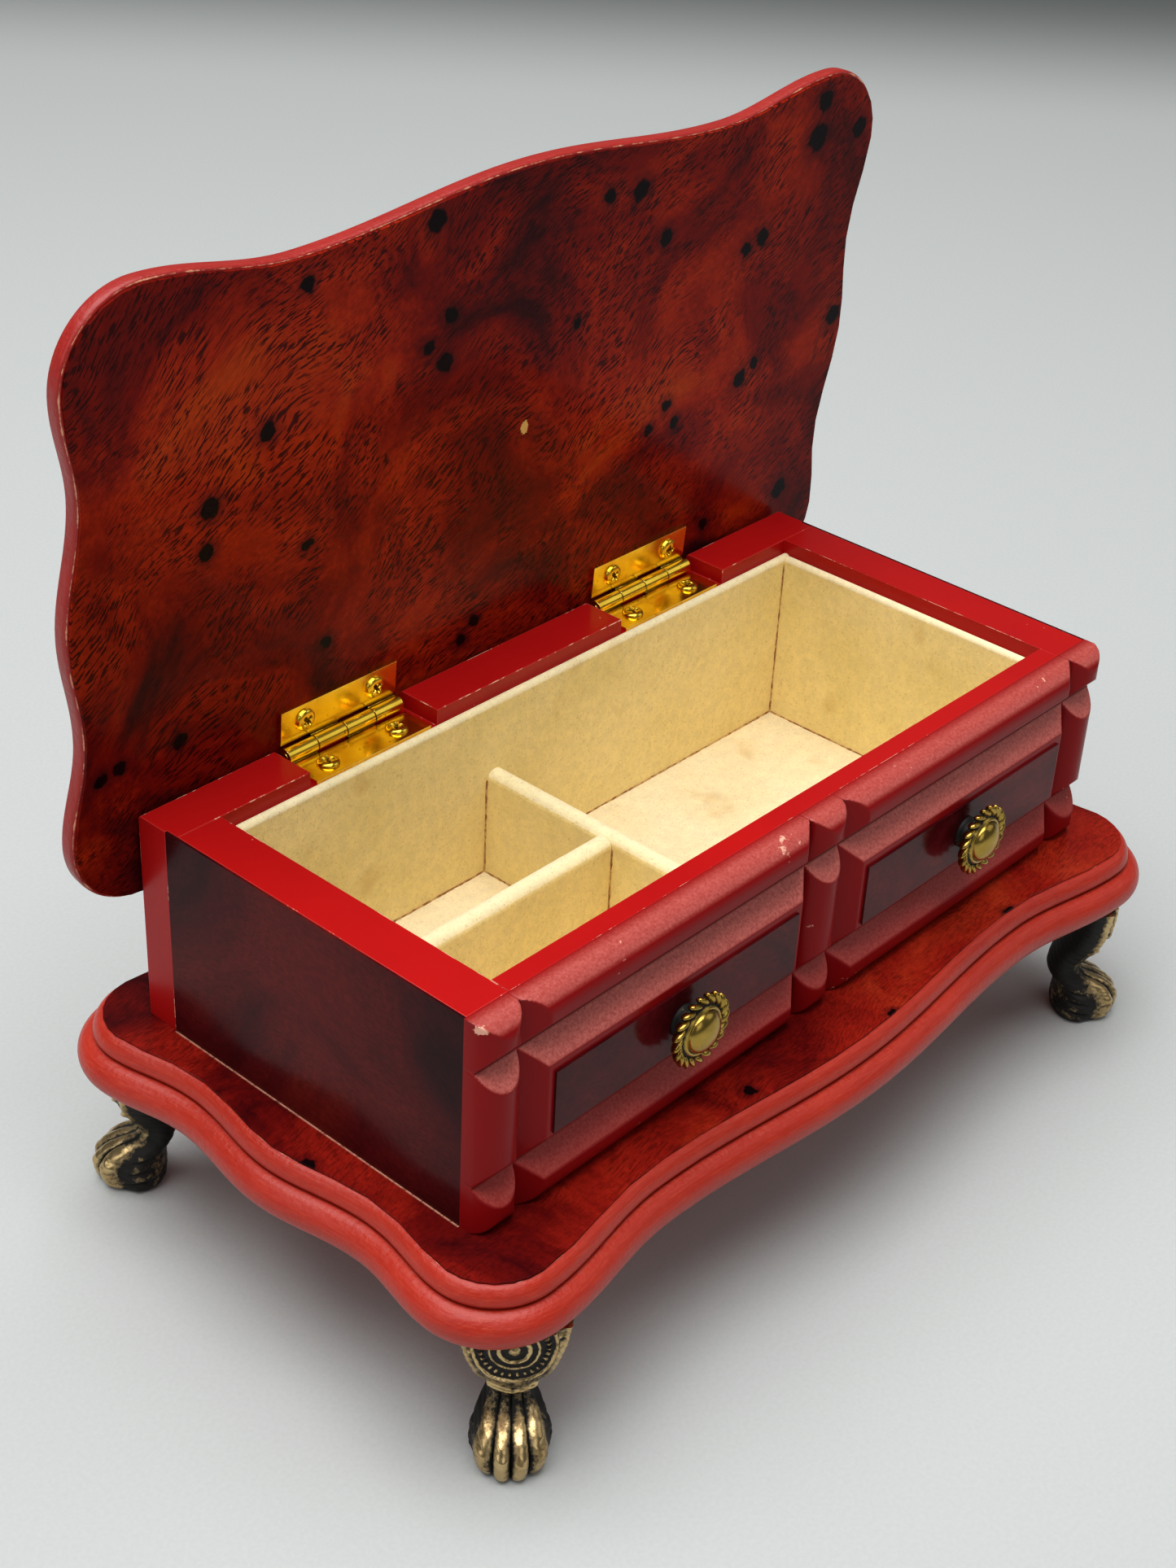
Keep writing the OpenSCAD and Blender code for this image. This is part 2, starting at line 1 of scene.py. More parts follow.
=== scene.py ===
"""Footed jewelry box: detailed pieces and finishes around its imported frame, in metres."""
import json
import logging
import math
from dataclasses import dataclass, field
from enum import Enum
from typing import Any, Callable, ClassVar, Iterable, Sequence

import bmesh
import bpy
import numpy as np
from mathutils import Matrix, Vector


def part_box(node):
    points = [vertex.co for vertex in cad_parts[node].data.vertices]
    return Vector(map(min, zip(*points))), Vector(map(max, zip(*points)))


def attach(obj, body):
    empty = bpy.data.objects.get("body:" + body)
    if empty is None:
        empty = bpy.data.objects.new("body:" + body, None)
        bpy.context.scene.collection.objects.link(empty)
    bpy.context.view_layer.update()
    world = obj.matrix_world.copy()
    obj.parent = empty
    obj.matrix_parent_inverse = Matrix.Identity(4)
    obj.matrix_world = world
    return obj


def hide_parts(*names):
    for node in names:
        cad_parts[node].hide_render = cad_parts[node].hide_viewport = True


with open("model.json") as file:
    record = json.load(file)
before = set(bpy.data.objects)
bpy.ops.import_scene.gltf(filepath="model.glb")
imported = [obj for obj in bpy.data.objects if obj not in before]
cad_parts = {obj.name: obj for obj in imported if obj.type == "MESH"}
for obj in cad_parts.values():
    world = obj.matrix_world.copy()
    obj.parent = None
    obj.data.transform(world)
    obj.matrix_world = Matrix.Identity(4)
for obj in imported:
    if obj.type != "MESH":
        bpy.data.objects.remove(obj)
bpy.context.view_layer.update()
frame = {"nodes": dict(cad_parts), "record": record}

MM = 0.001
log = logging.getLogger("jewelry_box")

Point2 = tuple[float, float]
Colour = tuple[float, float, float, float]


# ---- Small helpers for colours, nodes and meshes ----

def linear(code: str) -> Colour:
    """Turns an sRGB hex colour into the linear colour that shaders take.

    Args:
        code: Six hex digits, with or without a leading hash.

    Returns:
        Linear red, green, blue and an alpha of 1.
    """
    digits = code.lstrip("#")
    parts = [int(digits[i:i + 2], 16) / 255 for i in (0, 2, 4)]
    r, g, b = (p / 12.92 if p <= 0.04045 else ((p + 0.055) / 1.055) ** 2.4 for p in parts)
    return (r, g, b, 1.0)


def add_node(tree: bpy.types.NodeTree, kind: str, inputs: dict | None = None,
             stops: Sequence[tuple[float, Any]] = (), **settings: Any) -> bpy.types.Node:
    """Adds one node with its settings, its values and its links.

    Args:
        tree: Tree that gets the node.
        kind: Blender's name of the node type.
        inputs: Socket name or index to a value, or to an output socket to link from.
        stops: Position and colour of each stop, for a colour ramp.
        settings: Properties of the node.

    Returns:
        The new node.
    """
    node = tree.nodes.new(kind)
    for name, value in settings.items():
        setattr(node, name, value)
    for key, value in (inputs or {}).items():
        if isinstance(value, bpy.types.NodeSocket):
            tree.links.new(value, node.inputs[key])
        else:
            node.inputs[key].default_value = value
    if stops:
        elements = node.color_ramp.elements
        while len(elements) < len(stops):
            elements.new(1.0)
        for element, (place, shade) in zip(elements, stops):
            element.position = place
            element.color = linear(shade) if isinstance(shade, str) else (shade, shade, shade, 1.0)
    return node


MATH, MIX, NOISE, RAMP = "ShaderNodeMath", "ShaderNodeMix", "ShaderNodeTexNoise", "ShaderNodeValToRGB"
VECTOR, MAPPING, BUMP = "ShaderNodeVectorMath", "ShaderNodeMapping", "ShaderNodeBump"
VORONOI = "ShaderNodeTexVoronoi"
COORDS, ATTRIBUTE, PRINCIPLED = "ShaderNodeTexCoord", "ShaderNodeAttribute", "ShaderNodeBsdfPrincipled"
RANGE = "ShaderNodeMapRange"
MIX_FACTOR, MIX_A, MIX_B, MIX_OUT = 0, 6, 7, 2


def mesh_object(name: str, points: np.ndarray, faces: Iterable[Sequence[int]],
                values: dict[str, np.ndarray] | None = None) -> bpy.types.Object:
    """Makes a smooth mesh object with float attributes on its points.

    Args:
        name: Name of the object.
        points: One row of x, y, z in metres for each point.
        faces: Point numbers of each face.
        values: Attribute name to one number for each point.

    Returns:
        The object, linked into the scene.
    """
    mesh = bpy.data.meshes.new(name)
    mesh.from_pydata(points.tolist(), [], [tuple(int(i) for i in f) for f in faces])
    for key, numbers in (values or {}).items():
        layer = mesh.attributes.new(key, "FLOAT", "POINT")
        layer.data.foreach_set("value", np.asarray(numbers, np.float32).ravel())
    mesh.validate()
    mesh.shade_smooth()
    obj = bpy.data.objects.new(name, mesh)
    bpy.context.scene.collection.objects.link(obj)
    return obj


def grid_faces(rows: int, columns: int, closed: bool) -> list[tuple[int, int, int, int]]:
    """Faces of a grid whose points are stored row by row.

    Args:
        rows: Number of rows of points.
        columns: Number of points in each row.
        closed: True if each row runs round and meets its own start.

    Returns:
        Four point numbers for each face.
    """
    last = columns if closed else columns - 1
    return [(r * columns + c, r * columns + (c + 1) % columns,
             (r + 1) * columns + (c + 1) % columns, (r + 1) * columns + c)
            for r in range(rows - 1) for c in range(last)]


def evaluated_copy(obj: bpy.types.Object, name: str) -> bpy.types.Object:
    """Turns an object with modifiers into a plain mesh object, and removes the original.

    Args:
        obj: Object with its modifiers.
        name: Name of the plain object.

    Returns:
        The plain object.
    """
    bpy.context.view_layer.update()
    graph = bpy.context.evaluated_depsgraph_get()
    mesh = bpy.data.meshes.new_from_object(obj.evaluated_get(graph), preserve_all_data_layers=True,
                                           depsgraph=graph)
    mesh.name = name
    plain = bpy.data.objects.new(name, mesh)
    bpy.context.scene.collection.objects.link(plain)
    bpy.data.objects.remove(obj)
    return plain


def joined(name: str, parts: Sequence[bpy.types.Object]) -> bpy.types.Object:
    """Joins several objects at the origin into one, with their materials and attributes.

    Args:
        name: Name of the joined object.
        parts: Objects to join, which are used up.

    Returns:
        The joined object.
    """
    with bpy.context.temp_override(active_object=parts[0], object=parts[0], selected_objects=list(parts),
                                   selected_editable_objects=list(parts)):
        bpy.ops.object.join()
    parts[0].name = name
    parts[0].data.name = name
    return parts[0]


def cad_copy(node: str, name: str) -> bpy.types.Object:
    """Copies a frame node's mesh with its corners merged and its flat faces whole.

    Args:
        node: Name of the frame's node.
        name: Name of the copy.

    Returns:
        The copy.
    """
    source = frame["nodes"][node]
    mesh = source.data.copy()
    mesh.materials.clear()
    work = bmesh.new()
    work.from_mesh(mesh)
    bmesh.ops.remove_doubles(work, verts=work.verts, dist=0.002 * MM)
    bmesh.ops.dissolve_limit(work, angle_limit=math.radians(0.6), verts=work.verts, edges=work.edges)
    for layer in list(work.loops.layers.uv):
        work.loops.layers.uv.remove(layer)
    work.to_mesh(mesh)
    work.free()
    if mesh.attributes.get("custom_normal"):
        mesh.attributes.remove(mesh.attributes["custom_normal"])
    copy = bpy.data.objects.new(name, mesh)
    bpy.context.scene.collection.objects.link(copy)
    return copy


def softened(node: str, round_mm: float, finish: bpy.types.Material, edge: bpy.types.Material,
             segments: int = 2) -> bpy.types.Object:
    """Copies a frame node with rounded arrises, and sets the copy to stand for it.

    Args:
        node: Name of the frame's node.
        round_mm: Width of the rounding.
        finish: Material of the faces.
        edge: Material of the rounded arrises.
        segments: Number of facets across each rounding.

    Returns:
        The softened piece, riding on the node's body.
    """
    piece = cad_copy(node, f"{node}_soft")
    piece.data.materials.append(finish)
    piece.data.materials.append(edge)
    bevel = piece.modifiers.new("Arris", "BEVEL")
    bevel.width = round_mm * MM
    bevel.segments = segments
    bevel.limit_method = "ANGLE"
    bevel.angle_limit = math.radians(35)
    bevel.use_clamp_overlap = True
    bevel.material = 1
    piece.data.shade_smooth()
    normals = piece.modifiers.new("Flat faces", "WEIGHTED_NORMAL")
    normals.weight = 100
    piece = evaluated_copy(piece, f"{node}_soft")
    settle(piece, node)
    return piece


def body_of(node: str) -> str:
    """Name of the body that a frame node belongs to."""
    bodies = frame["record"]["behaviour"]["bodies"]
    return next(body for body, nodes in bodies.items() if node in nodes)


def settle(piece: bpy.types.Object, *nodes: str) -> None:
    """Lets a piece ride on the nodes' body and stand for the nodes.

    Args:
        piece: Finished piece.
        nodes: Frame nodes that it replaces, all on one body.
    """
    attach(piece, body_of(nodes[0]))
    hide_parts(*nodes)
    log.info("%s stands for %s with %d faces", piece.name, ", ".join(nodes), len(piece.data.polygons))


def dress(node: str, finish: bpy.types.Material) -> None:
    """Gives a frame node that stays a better material."""
    obj = frame["nodes"][node]
    obj.data.materials.clear()
    obj.data.materials.append(finish)
    log.info("%s keeps its shape and gets %s", node, finish.name)


def box_mm(node: str) -> tuple[np.ndarray, np.ndarray]:
    """Lowest and highest corner of a frame node in millimetres."""
    low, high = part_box(node)
    return np.array(low) / MM, np.array(high) / MM


def hinge_pin() -> Vector:
    """Place of the lid's hinge line, in metres."""
    return Vector(frame["record"]["behaviour"]["joints"][0]["pos_m"])


# ---- Geometry node trees ----

def new_geometry_tree(name: str, sockets: Sequence[tuple[str, str]]) -> tuple[bpy.types.NodeTree, Any, Any]:
    """Starts a geometry node tree with a geometry input and output.

    Args:
        name: Name of the tree.
        sockets: Name and socket type of each further input.

    Returns:
        The tree, its group input node and its group output node.
    """
    tree = bpy.data.node_groups.new(name, "GeometryNodeTree")
    tree.interface.new_socket("Geometry", in_out="INPUT", socket_type="NodeSocketGeometry")
    for label, kind in sockets:
        tree.interface.new_socket(label, in_out="INPUT", socket_type=kind)
    tree.interface.new_socket("Geometry", in_out="OUTPUT", socket_type="NodeSocketGeometry")
    return tree, tree.nodes.new("NodeGroupInput"), tree.nodes.new("NodeGroupOutput")


def finish_tree(tree: bpy.types.NodeTree, geometry: bpy.types.NodeSocket, finish: bpy.types.NodeSocket,
                outlet: bpy.types.Node) -> None:
    """Ends a tree with real meshes in one finish.

    Args:
        tree: Tree to end.
        geometry: Geometry to put out.
        finish: Socket that holds the material.
        outlet: The tree's group output.
    """
    real = add_node(tree, "GeometryNodeRealizeInstances", {"Geometry": geometry})
    smooth = add_node(tree, "GeometryNodeSetShadeSmooth", {"Geometry": real.outputs[0]})
    painted = add_node(tree, "GeometryNodeSetMaterial", {"Geometry": smooth.outputs[0], "Material": finish})
    tree.links.new(painted.outputs[0], outlet.inputs[0])


def run_tree(tree: bpy.types.NodeTree, base: bpy.types.Object, values: dict[str, Any],
             name: str) -> bpy.types.Object:
    """Runs a geometry tree on an object and keeps the result as a plain mesh.

    Args:
        tree: Tree to run.
        base: Object that it starts from, which is used up.
        values: Input name to its value.
        name: Name of the result.

    Returns:
        The plain mesh object.
    """
    modifier = base.modifiers.new(tree.name, "NODES")
    modifier.node_group = tree
    for item in tree.interface.items_tree:
        if item.item_type == "SOCKET" and item.in_out == "INPUT" and item.name in values:
            modifier[item.identifier] = values[item.name]
    return evaluated_copy(base, name)


def points_object(name: str, places: Sequence[Vector],
                  edges: Sequence[tuple[int, int]] = ()) -> bpy.types.Object:
    """Makes an object of loose points, with or without edges, for a geometry tree to start from."""
    mesh = bpy.data.meshes.new(name)
    mesh.from_pydata([tuple(p) for p in places], list(edges), [])
    obj = bpy.data.objects.new(name, mesh)
    bpy.context.scene.collection.objects.link(obj)
    return obj


def screw_tree() -> bpy.types.NodeTree:
    """Tree that sets one screw on every point, facing one way, each stopped at its own turn."""
    tree, inlet, outlet = new_geometry_tree("Screws on points", [
        ("Screw", "NodeSocketObject"), ("Facing", "NodeSocketVector"), ("Seed", "NodeSocketInt"),
        ("Finish", "NodeSocketMaterial")])
    screw = add_node(tree, "GeometryNodeObjectInfo", {"Object": inlet.outputs["Screw"]})
    turn = add_node(tree, "FunctionNodeRandomValue",
                    {"Max": (0.0, 0.0, 2 * math.pi), "Seed": inlet.outputs["Seed"]},
                    data_type="FLOAT_VECTOR")
    facing = add_node(tree, "FunctionNodeAlignRotationToVector", {"Vector": inlet.outputs["Facing"]},
                      axis="Z")
    spin = add_node(tree, "FunctionNodeEulerToRotation", {0: turn.outputs[0]})
    both = add_node(tree, "FunctionNodeRotateRotation", {0: facing.outputs[0], 1: spin.outputs[0]},
                    rotation_space="LOCAL")
    set_out = add_node(tree, "GeometryNodeInstanceOnPoints", {
        "Points": inlet.outputs["Geometry"], "Instance": screw.outputs["Geometry"],
        "Rotation": both.outputs[0]})
    finish_tree(tree, set_out.outputs[0], inlet.outputs["Finish"], outlet)
    return tree


def rope_tree() -> bpy.types.NodeTree:
    """Tree that lays leaning lobes round a circle, like the strands of a rope."""
    tree, inlet, outlet = new_geometry_tree("Rope rim", [
        ("Radius", "NodeSocketFloat"), ("Lobes", "NodeSocketInt"), ("Lobe size", "NodeSocketVector"),
        ("Lean", "NodeSocketFloat"), ("Twist", "NodeSocketFloat"), ("Finish", "NodeSocketMaterial")])
    ring = add_node(tree, "GeometryNodeMeshCircle", {"Vertices": inlet.outputs["Lobes"],
                                                     "Radius": inlet.outputs["Radius"]})
    lobe = add_node(tree, "GeometryNodeMeshUVSphere", {"Segments": 16, "Rings": 10, "Radius": 1.0})
    shaped = add_node(tree, "GeometryNodeTransform", {"Geometry": lobe.outputs["Mesh"],
                                                      "Scale": inlet.outputs["Lobe size"]})
    index = add_node(tree, "GeometryNodeInputIndex")
    part = add_node(tree, MATH, {0: index.outputs[0], 1: inlet.outputs["Lobes"]}, operation="DIVIDE")
    angle = add_node(tree, MATH, {0: part.outputs[0], 1: 2 * math.pi, 2: inlet.outputs["Twist"]},
                     operation="MULTIPLY_ADD")
    turn = add_node(tree, "ShaderNodeCombineXYZ", {"X": inlet.outputs["Lean"], "Z": angle.outputs[0]})
    rotation = add_node(tree, "FunctionNodeEulerToRotation", {0: turn.outputs[0]})
    lobes = add_node(tree, "GeometryNodeInstanceOnPoints", {
        "Points": ring.outputs["Mesh"], "Instance": shaped.outputs[0], "Rotation": rotation.outputs[0]})
    finish_tree(tree, lobes.outputs[0], inlet.outputs["Finish"], outlet)
    return tree


def glue_tree() -> bpy.types.NodeTree:
    """Tree that runs an uneven bead of glue along every edge."""
    tree, inlet, outlet = new_geometry_tree("Glue bead", [
        ("Radius", "NodeSocketFloat"), ("Unevenness", "NodeSocketFloat"), ("Step", "NodeSocketFloat"),
        ("Finish", "NodeSocketMaterial")])
    line = add_node(tree, "GeometryNodeMeshToCurve", {"Mesh": inlet.outputs["Geometry"]})
    dense = add_node(tree, "GeometryNodeResampleCurve",
                     {"Curve": line.outputs[0], "Length": inlet.outputs["Step"]},
                     mode="LENGTH")
    profile = add_node(tree, "GeometryNodeCurvePrimitiveCircle",
                       {"Resolution": 8, "Radius": inlet.outputs["Radius"]})
    bead = add_node(tree, "GeometryNodeCurveToMesh",
                    {"Curve": dense.outputs[0], "Profile Curve": profile.outputs[0],
                                                      "Fill Caps": True})
    noise = add_node(tree, NOISE, {"Scale": 700.0, "Detail": 2.0})
    centred = add_node(tree, VECTOR, {0: noise.outputs["Color"], 1: (0.5, 0.5, 0.5)}, operation="SUBTRACT")
    push = add_node(tree, VECTOR, {0: centred.outputs[0], "Scale": inlet.outputs["Unevenness"]},
                    operation="SCALE")
    moved = add_node(tree, "GeometryNodeSetPosition",
                     {"Geometry": bead.outputs[0], "Offset": push.outputs[0]})
    finish_tree(tree, moved.outputs[0], inlet.outputs["Finish"], outlet)
    return tree


# ---- Finishes ----

def new_material(name: str) -> tuple[bpy.types.Material, bpy.types.NodeTree]:
    """Makes an empty node material.

    Args:
        name: Name of the material.

    Returns:
        The material and its node tree.
    """
    material = bpy.data.materials.new(name)
    material.use_nodes = True
    material.node_tree.nodes.clear()
    return material, material.node_tree


def surface(tree: bpy.types.NodeTree, inputs: dict) -> None:
    """Adds the main shader and the output.

    Args:
        tree: Tree of the material.
        inputs: Values and links of the main shader.
    """
    shader = add_node(tree, PRINCIPLED, inputs)
    add_node(tree, "ShaderNodeOutputMaterial", {"Surface": shader.outputs[0]})


def object_point(tree: bpy.types.NodeTree, turn: tuple[float, float, float] = (0.0, 0.0, 0.0),
                 move: tuple[float, float, float] = (0.0, 0.0, 0.0)) -> bpy.types.NodeSocket:
    """Object coordinates, turned and moved onto the sheet that a pattern lies on.

    Args:
        tree: Tree of the material.
        turn: Turn about X, Y and Z in radians.
        move: Move after the turn, in metres.

    Returns:
        The coordinates.
    """
    coords = add_node(tree, COORDS)
    return add_node(tree, MAPPING, {"Vector": coords.outputs["Object"], "Rotation": turn,
                                    "Location": move}).outputs[0]


def jostled(tree: bpy.types.NodeTree, point: bpy.types.NodeSocket, scale: float, detail: float,
            reach: tuple[float, float, float]) -> bpy.types.NodeSocket:
    """Coordinates pushed about by a noise.

    Args:
        tree: Tree of the material.
        point: Coordinates to push.
        scale: Scale of the noise.
        detail: Octaves of the noise.
        reach: Push along each axis from one extreme of the noise to the other, in metres.

    Returns:
        The pushed coordinates.
    """
    noise = add_node(tree, NOISE, {"Vector": point, "Scale": scale, "Detail": detail})
    centred = add_node(tree, VECTOR, {0: noise.outputs["Color"], 1: (0.5, 0.5, 0.5)}, operation="SUBTRACT")
    return add_node(tree, VECTOR, {0: centred.outputs[0], 1: reach, 2: point},
                    operation="MULTIPLY_ADD").outputs[0]


class Blend(Enum):
    """How a colour goes over another one."""
    COVER = "MIX"
    STAIN = "MULTIPLY"


def blend_colours(tree: bpy.types.NodeTree, factor: Any, a: Any, b: Any,
                  mode: Blend = Blend.COVER) -> bpy.types.NodeSocket:
    """Colour that goes from a to b as the factor goes from 0 to 1."""
    return add_node(tree, MIX, {MIX_FACTOR: factor, MIX_A: a, MIX_B: b}, data_type="RGBA",
                    blend_type=mode.value).outputs[MIX_OUT]


@dataclass(frozen=True)
class RedLacquer:
    """Nitrocellulose lacquer sprayed over sanded fibreboard: deep red, satin, with a faint orange peel.

    The routed places drink the lacquer, so they are fuzzier, pinker and more glinting than the flat faces; on
    the front the pink goes only on the faces that look up, partly raised fibre and partly a painted highlight
    of the light from above, and the groove bottoms take a darker red as painted shade.
    """
    name: str = "red nitro lacquer on fibreboard"
    body: str = "#B01210"
    shade: str = "#980B0E"
    # Pink of the raised fibres, partly a painted highlight on the faces lit from above
    routed: str = "#B4544C"
    bare: str = "#E4A890"
    # Dark red of the painted shade in the groove bottoms
    groove: str = "#4E060A"
    wear: float = 0.0
    mirror: float = 0.13

    def material(self) -> bpy.types.Material:
        """Builds the material; `wear` is how much of the surface is rubbed to the pale board."""
        material, tree = new_material(self.name)
        point = object_point(tree)
        routed = add_node(tree, ATTRIBUTE, attribute_name="routed").outputs["Fac"]
        arris = add_node(tree, ATTRIBUTE, attribute_name="arris").outputs["Fac"]
        hollow = add_node(tree, ATTRIBUTE, attribute_name="hollow").outputs["Fac"]
        # Cloudy build of the coats, 30 mm across
        cloud = add_node(tree, NOISE, {"Vector": point, "Scale": 34.0, "Detail": 4.0})
        body = blend_colours(tree, cloud.outputs["Fac"], linear(self.body), linear(self.shade))
        # Raised board fibres in the routed places, 0.5 to 1 mm
        fibre = add_node(tree, NOISE, {"Vector": point, "Scale": 1500.0, "Detail": 5.0, "Roughness": 0.7})
        fuzz = add_node(tree, RAMP, {0: fibre.outputs["Fac"]}, stops=((0.34, 0.4), (0.66, 1.0)))
        # Pinker where routed: raised fibres, and on the front's upward faces partly a painted highlight
        fuzz_and_highlight = add_node(tree, MATH, {0: fuzz.outputs[0], 1: routed}, operation="MULTIPLY")
        colour = blend_colours(tree, fuzz_and_highlight.outputs[0], body, linear(self.routed))
        # Painted shade: darker red in the groove bottoms, from the hollow attribute
        colour = blend_colours(tree, hollow, colour, linear(self.groove))
        # Nicks and rubbed arrises that show the pale board, 1 to 4 mm long
        nick = add_node(tree, NOISE, {"Vector": point, "Scale": 420.0, "Detail": 4.0, "Roughness": 0.65})
        drift = add_node(tree, NOISE, {"Vector": point, "Scale": 60.0, "Detail": 2.0})
        patchy = add_node(tree, MATH, {0: nick.outputs["Fac"], 1: drift.outputs["Fac"]}, operation="ADD")
        limit = add_node(tree, MATH, {0: arris, 1: 0.09, 2: 0.24 + self.wear * 0.23},
                         operation="MULTIPLY_ADD")
        worn = add_node(tree, MATH, {0: patchy.outputs[0], 1: limit.outputs[0]}, operation="ADD")
        rubbed = add_node(tree, RANGE, {"Value": worn.outputs[0], "From Min": 1.56,
                                        "From Max": 1.62})
        colour = blend_colours(tree, rubbed.outputs[0], colour, linear(self.bare))
        rough = add_node(tree, RANGE, {"Value": fuzz_and_highlight.outputs[0], "To Min": 0.3, "To Max": 0.38})
        wet = add_node(tree, RANGE, {"Value": fuzz_and_highlight.outputs[0], "To Min": self.mirror,
                                     "To Max": 0.6})
        # Orange peel, 2 mm, under fine fibre relief
        peel = add_node(tree, NOISE, {"Vector": point, "Scale": 480.0, "Detail": 2.0})
        soft = add_node(tree, BUMP, {"Height": peel.outputs["Fac"], "Strength": 0.06, "Distance": 0.4 * MM})
        relief = add_node(tree, MATH, {0: fibre.outputs["Fac"], 1: routed}, operation="MULTIPLY")
        rugged = add_node(tree, BUMP, {"Height": relief.outputs[0], "Strength": 0.5, "Distance": 0.3 * MM,
                                       "Normal": soft.outputs[0]})
        surface(tree, {"Base Color": colour, "Roughness": rough.outputs[0], "Normal": rugged.outputs[0],
                       "Coat Weight": 0.05, "Coat Roughness": 0.12, "Specular IOR Level": wet.outputs[0]})
        return material


@dataclass(frozen=True)
class MouldingLacquer:
    """Thin orange-red lacquer on a routed fibreboard edge, so that the fibres show as fine streaks."""
    name: str = "orange-red lacquer on routed edge"
    body: str = "#B82A12"
    streak: str = "#98180A"
    pale: str = "#CC4C30"
    bare: str = "#F0AC84"
    # Dark red of the painted shade in the groove
    groove: str = "#6E0E0A"
    wear: float = 0.46

    def material(self) -> bpy.types.Material:
        """Builds the material, with streaks along the piece's own grain coordinates."""
        material, tree = new_material(self.name)
        point = object_point(tree)
        grain = add_node(tree, "ShaderNodeUVMap", uv_map="grain").outputs[0]
        arris = add_node(tree, ATTRIBUTE, attribute_name="arris").outputs["Fac"]
        hollow = add_node(tree, ATTRIBUTE, attribute_name="hollow").outputs["Fac"]
        cloud = add_node(tree, NOISE, {"Vector": point, "Scale": 45.0, "Detail": 4.0})
        body = blend_colours(tree, cloud.outputs["Fac"], linear(self.body), linear(self.streak))
        # Board layers drawn out along the edge, 0.4 mm tall and 6 mm long
        drawn = add_node(tree, MAPPING, {"Vector": grain, "Scale": (170.0, 2300.0, 1.0)})
        layer = add_node(tree, NOISE, {"Vector": drawn.outputs[0], "Scale": 1.0, "Detail": 4.0,
                                       "Roughness": 0.6})
        lines = add_node(tree, RAMP, {0: layer.outputs["Fac"]}, stops=((0.46, 0.0), (0.72, 0.32)))
        colour = blend_colours(tree, lines.outputs[0], body, linear(self.pale))
        fibre = add_node(tree, NOISE, {"Vector": point, "Scale": 1300.0, "Detail": 5.0, "Roughness": 0.7})
        speck = add_node(tree, RAMP, {0: fibre.outputs["Fac"]}, stops=((0.3, 0.55), (0.42, 0.0)))
        colour = blend_colours(tree, speck.outputs[0], colour, linear(self.streak))
        # Painted shade: darker red along the groove, from the hollow attribute
        colour = blend_colours(tree, hollow, colour, linear(self.groove))
        nick = add_node(tree, NOISE, {"Vector": point, "Scale": 260.0, "Detail": 5.0, "Roughness": 0.65})
        worn = add_node(tree, MATH, {0: arris, 1: self.wear, 2: nick.outputs["Fac"]},
                        operation="MULTIPLY_ADD")
        rubbed = add_node(tree, RANGE, {"Value": worn.outputs[0], "From Min": 0.8,
                                        "From Max": 0.9, "To Max": 0.75})
        colour = blend_colours(tree, rubbed.outputs[0], colour, linear(self.bare))
        rough = add_node(tree, RANGE, {"Value": layer.outputs["Fac"], "To Min": 0.34,
                                       "To Max": 0.5})
        height = add_node(tree, MATH, {0: layer.outputs["Fac"], 1: fibre.outputs["Fac"]}, operation="ADD")
        bump = add_node(tree, BUMP, {"Height": height.outputs[0], "Strength": 0.32, "Distance": 0.2 * MM})
        # Orange peel, 1.5 mm
        peel = add_node(tree, NOISE, {"Vector": point, "Scale": 620.0, "Detail": 3.0})
        uneven = add_node(tree, BUMP, {"Height": peel.outputs["Fac"], "Strength": 0.5, "Distance": 0.5 * MM,
                                       "Normal": bump.outputs[0]})
        surface(tree, {"Base Color": colour, "Roughness": rough.outputs[0], "Normal": uneven.outputs[0],
                       "Coat Weight": 0.12, "Coat Roughness": 0.16, "Specular IOR Level": 0.34})
        return material


@dataclass(frozen=True)
class Knot:
    """One small dark eye in the burl: its place on the sheet and its radius, in millimetres."""
    x: float
    y: float
    radius: float


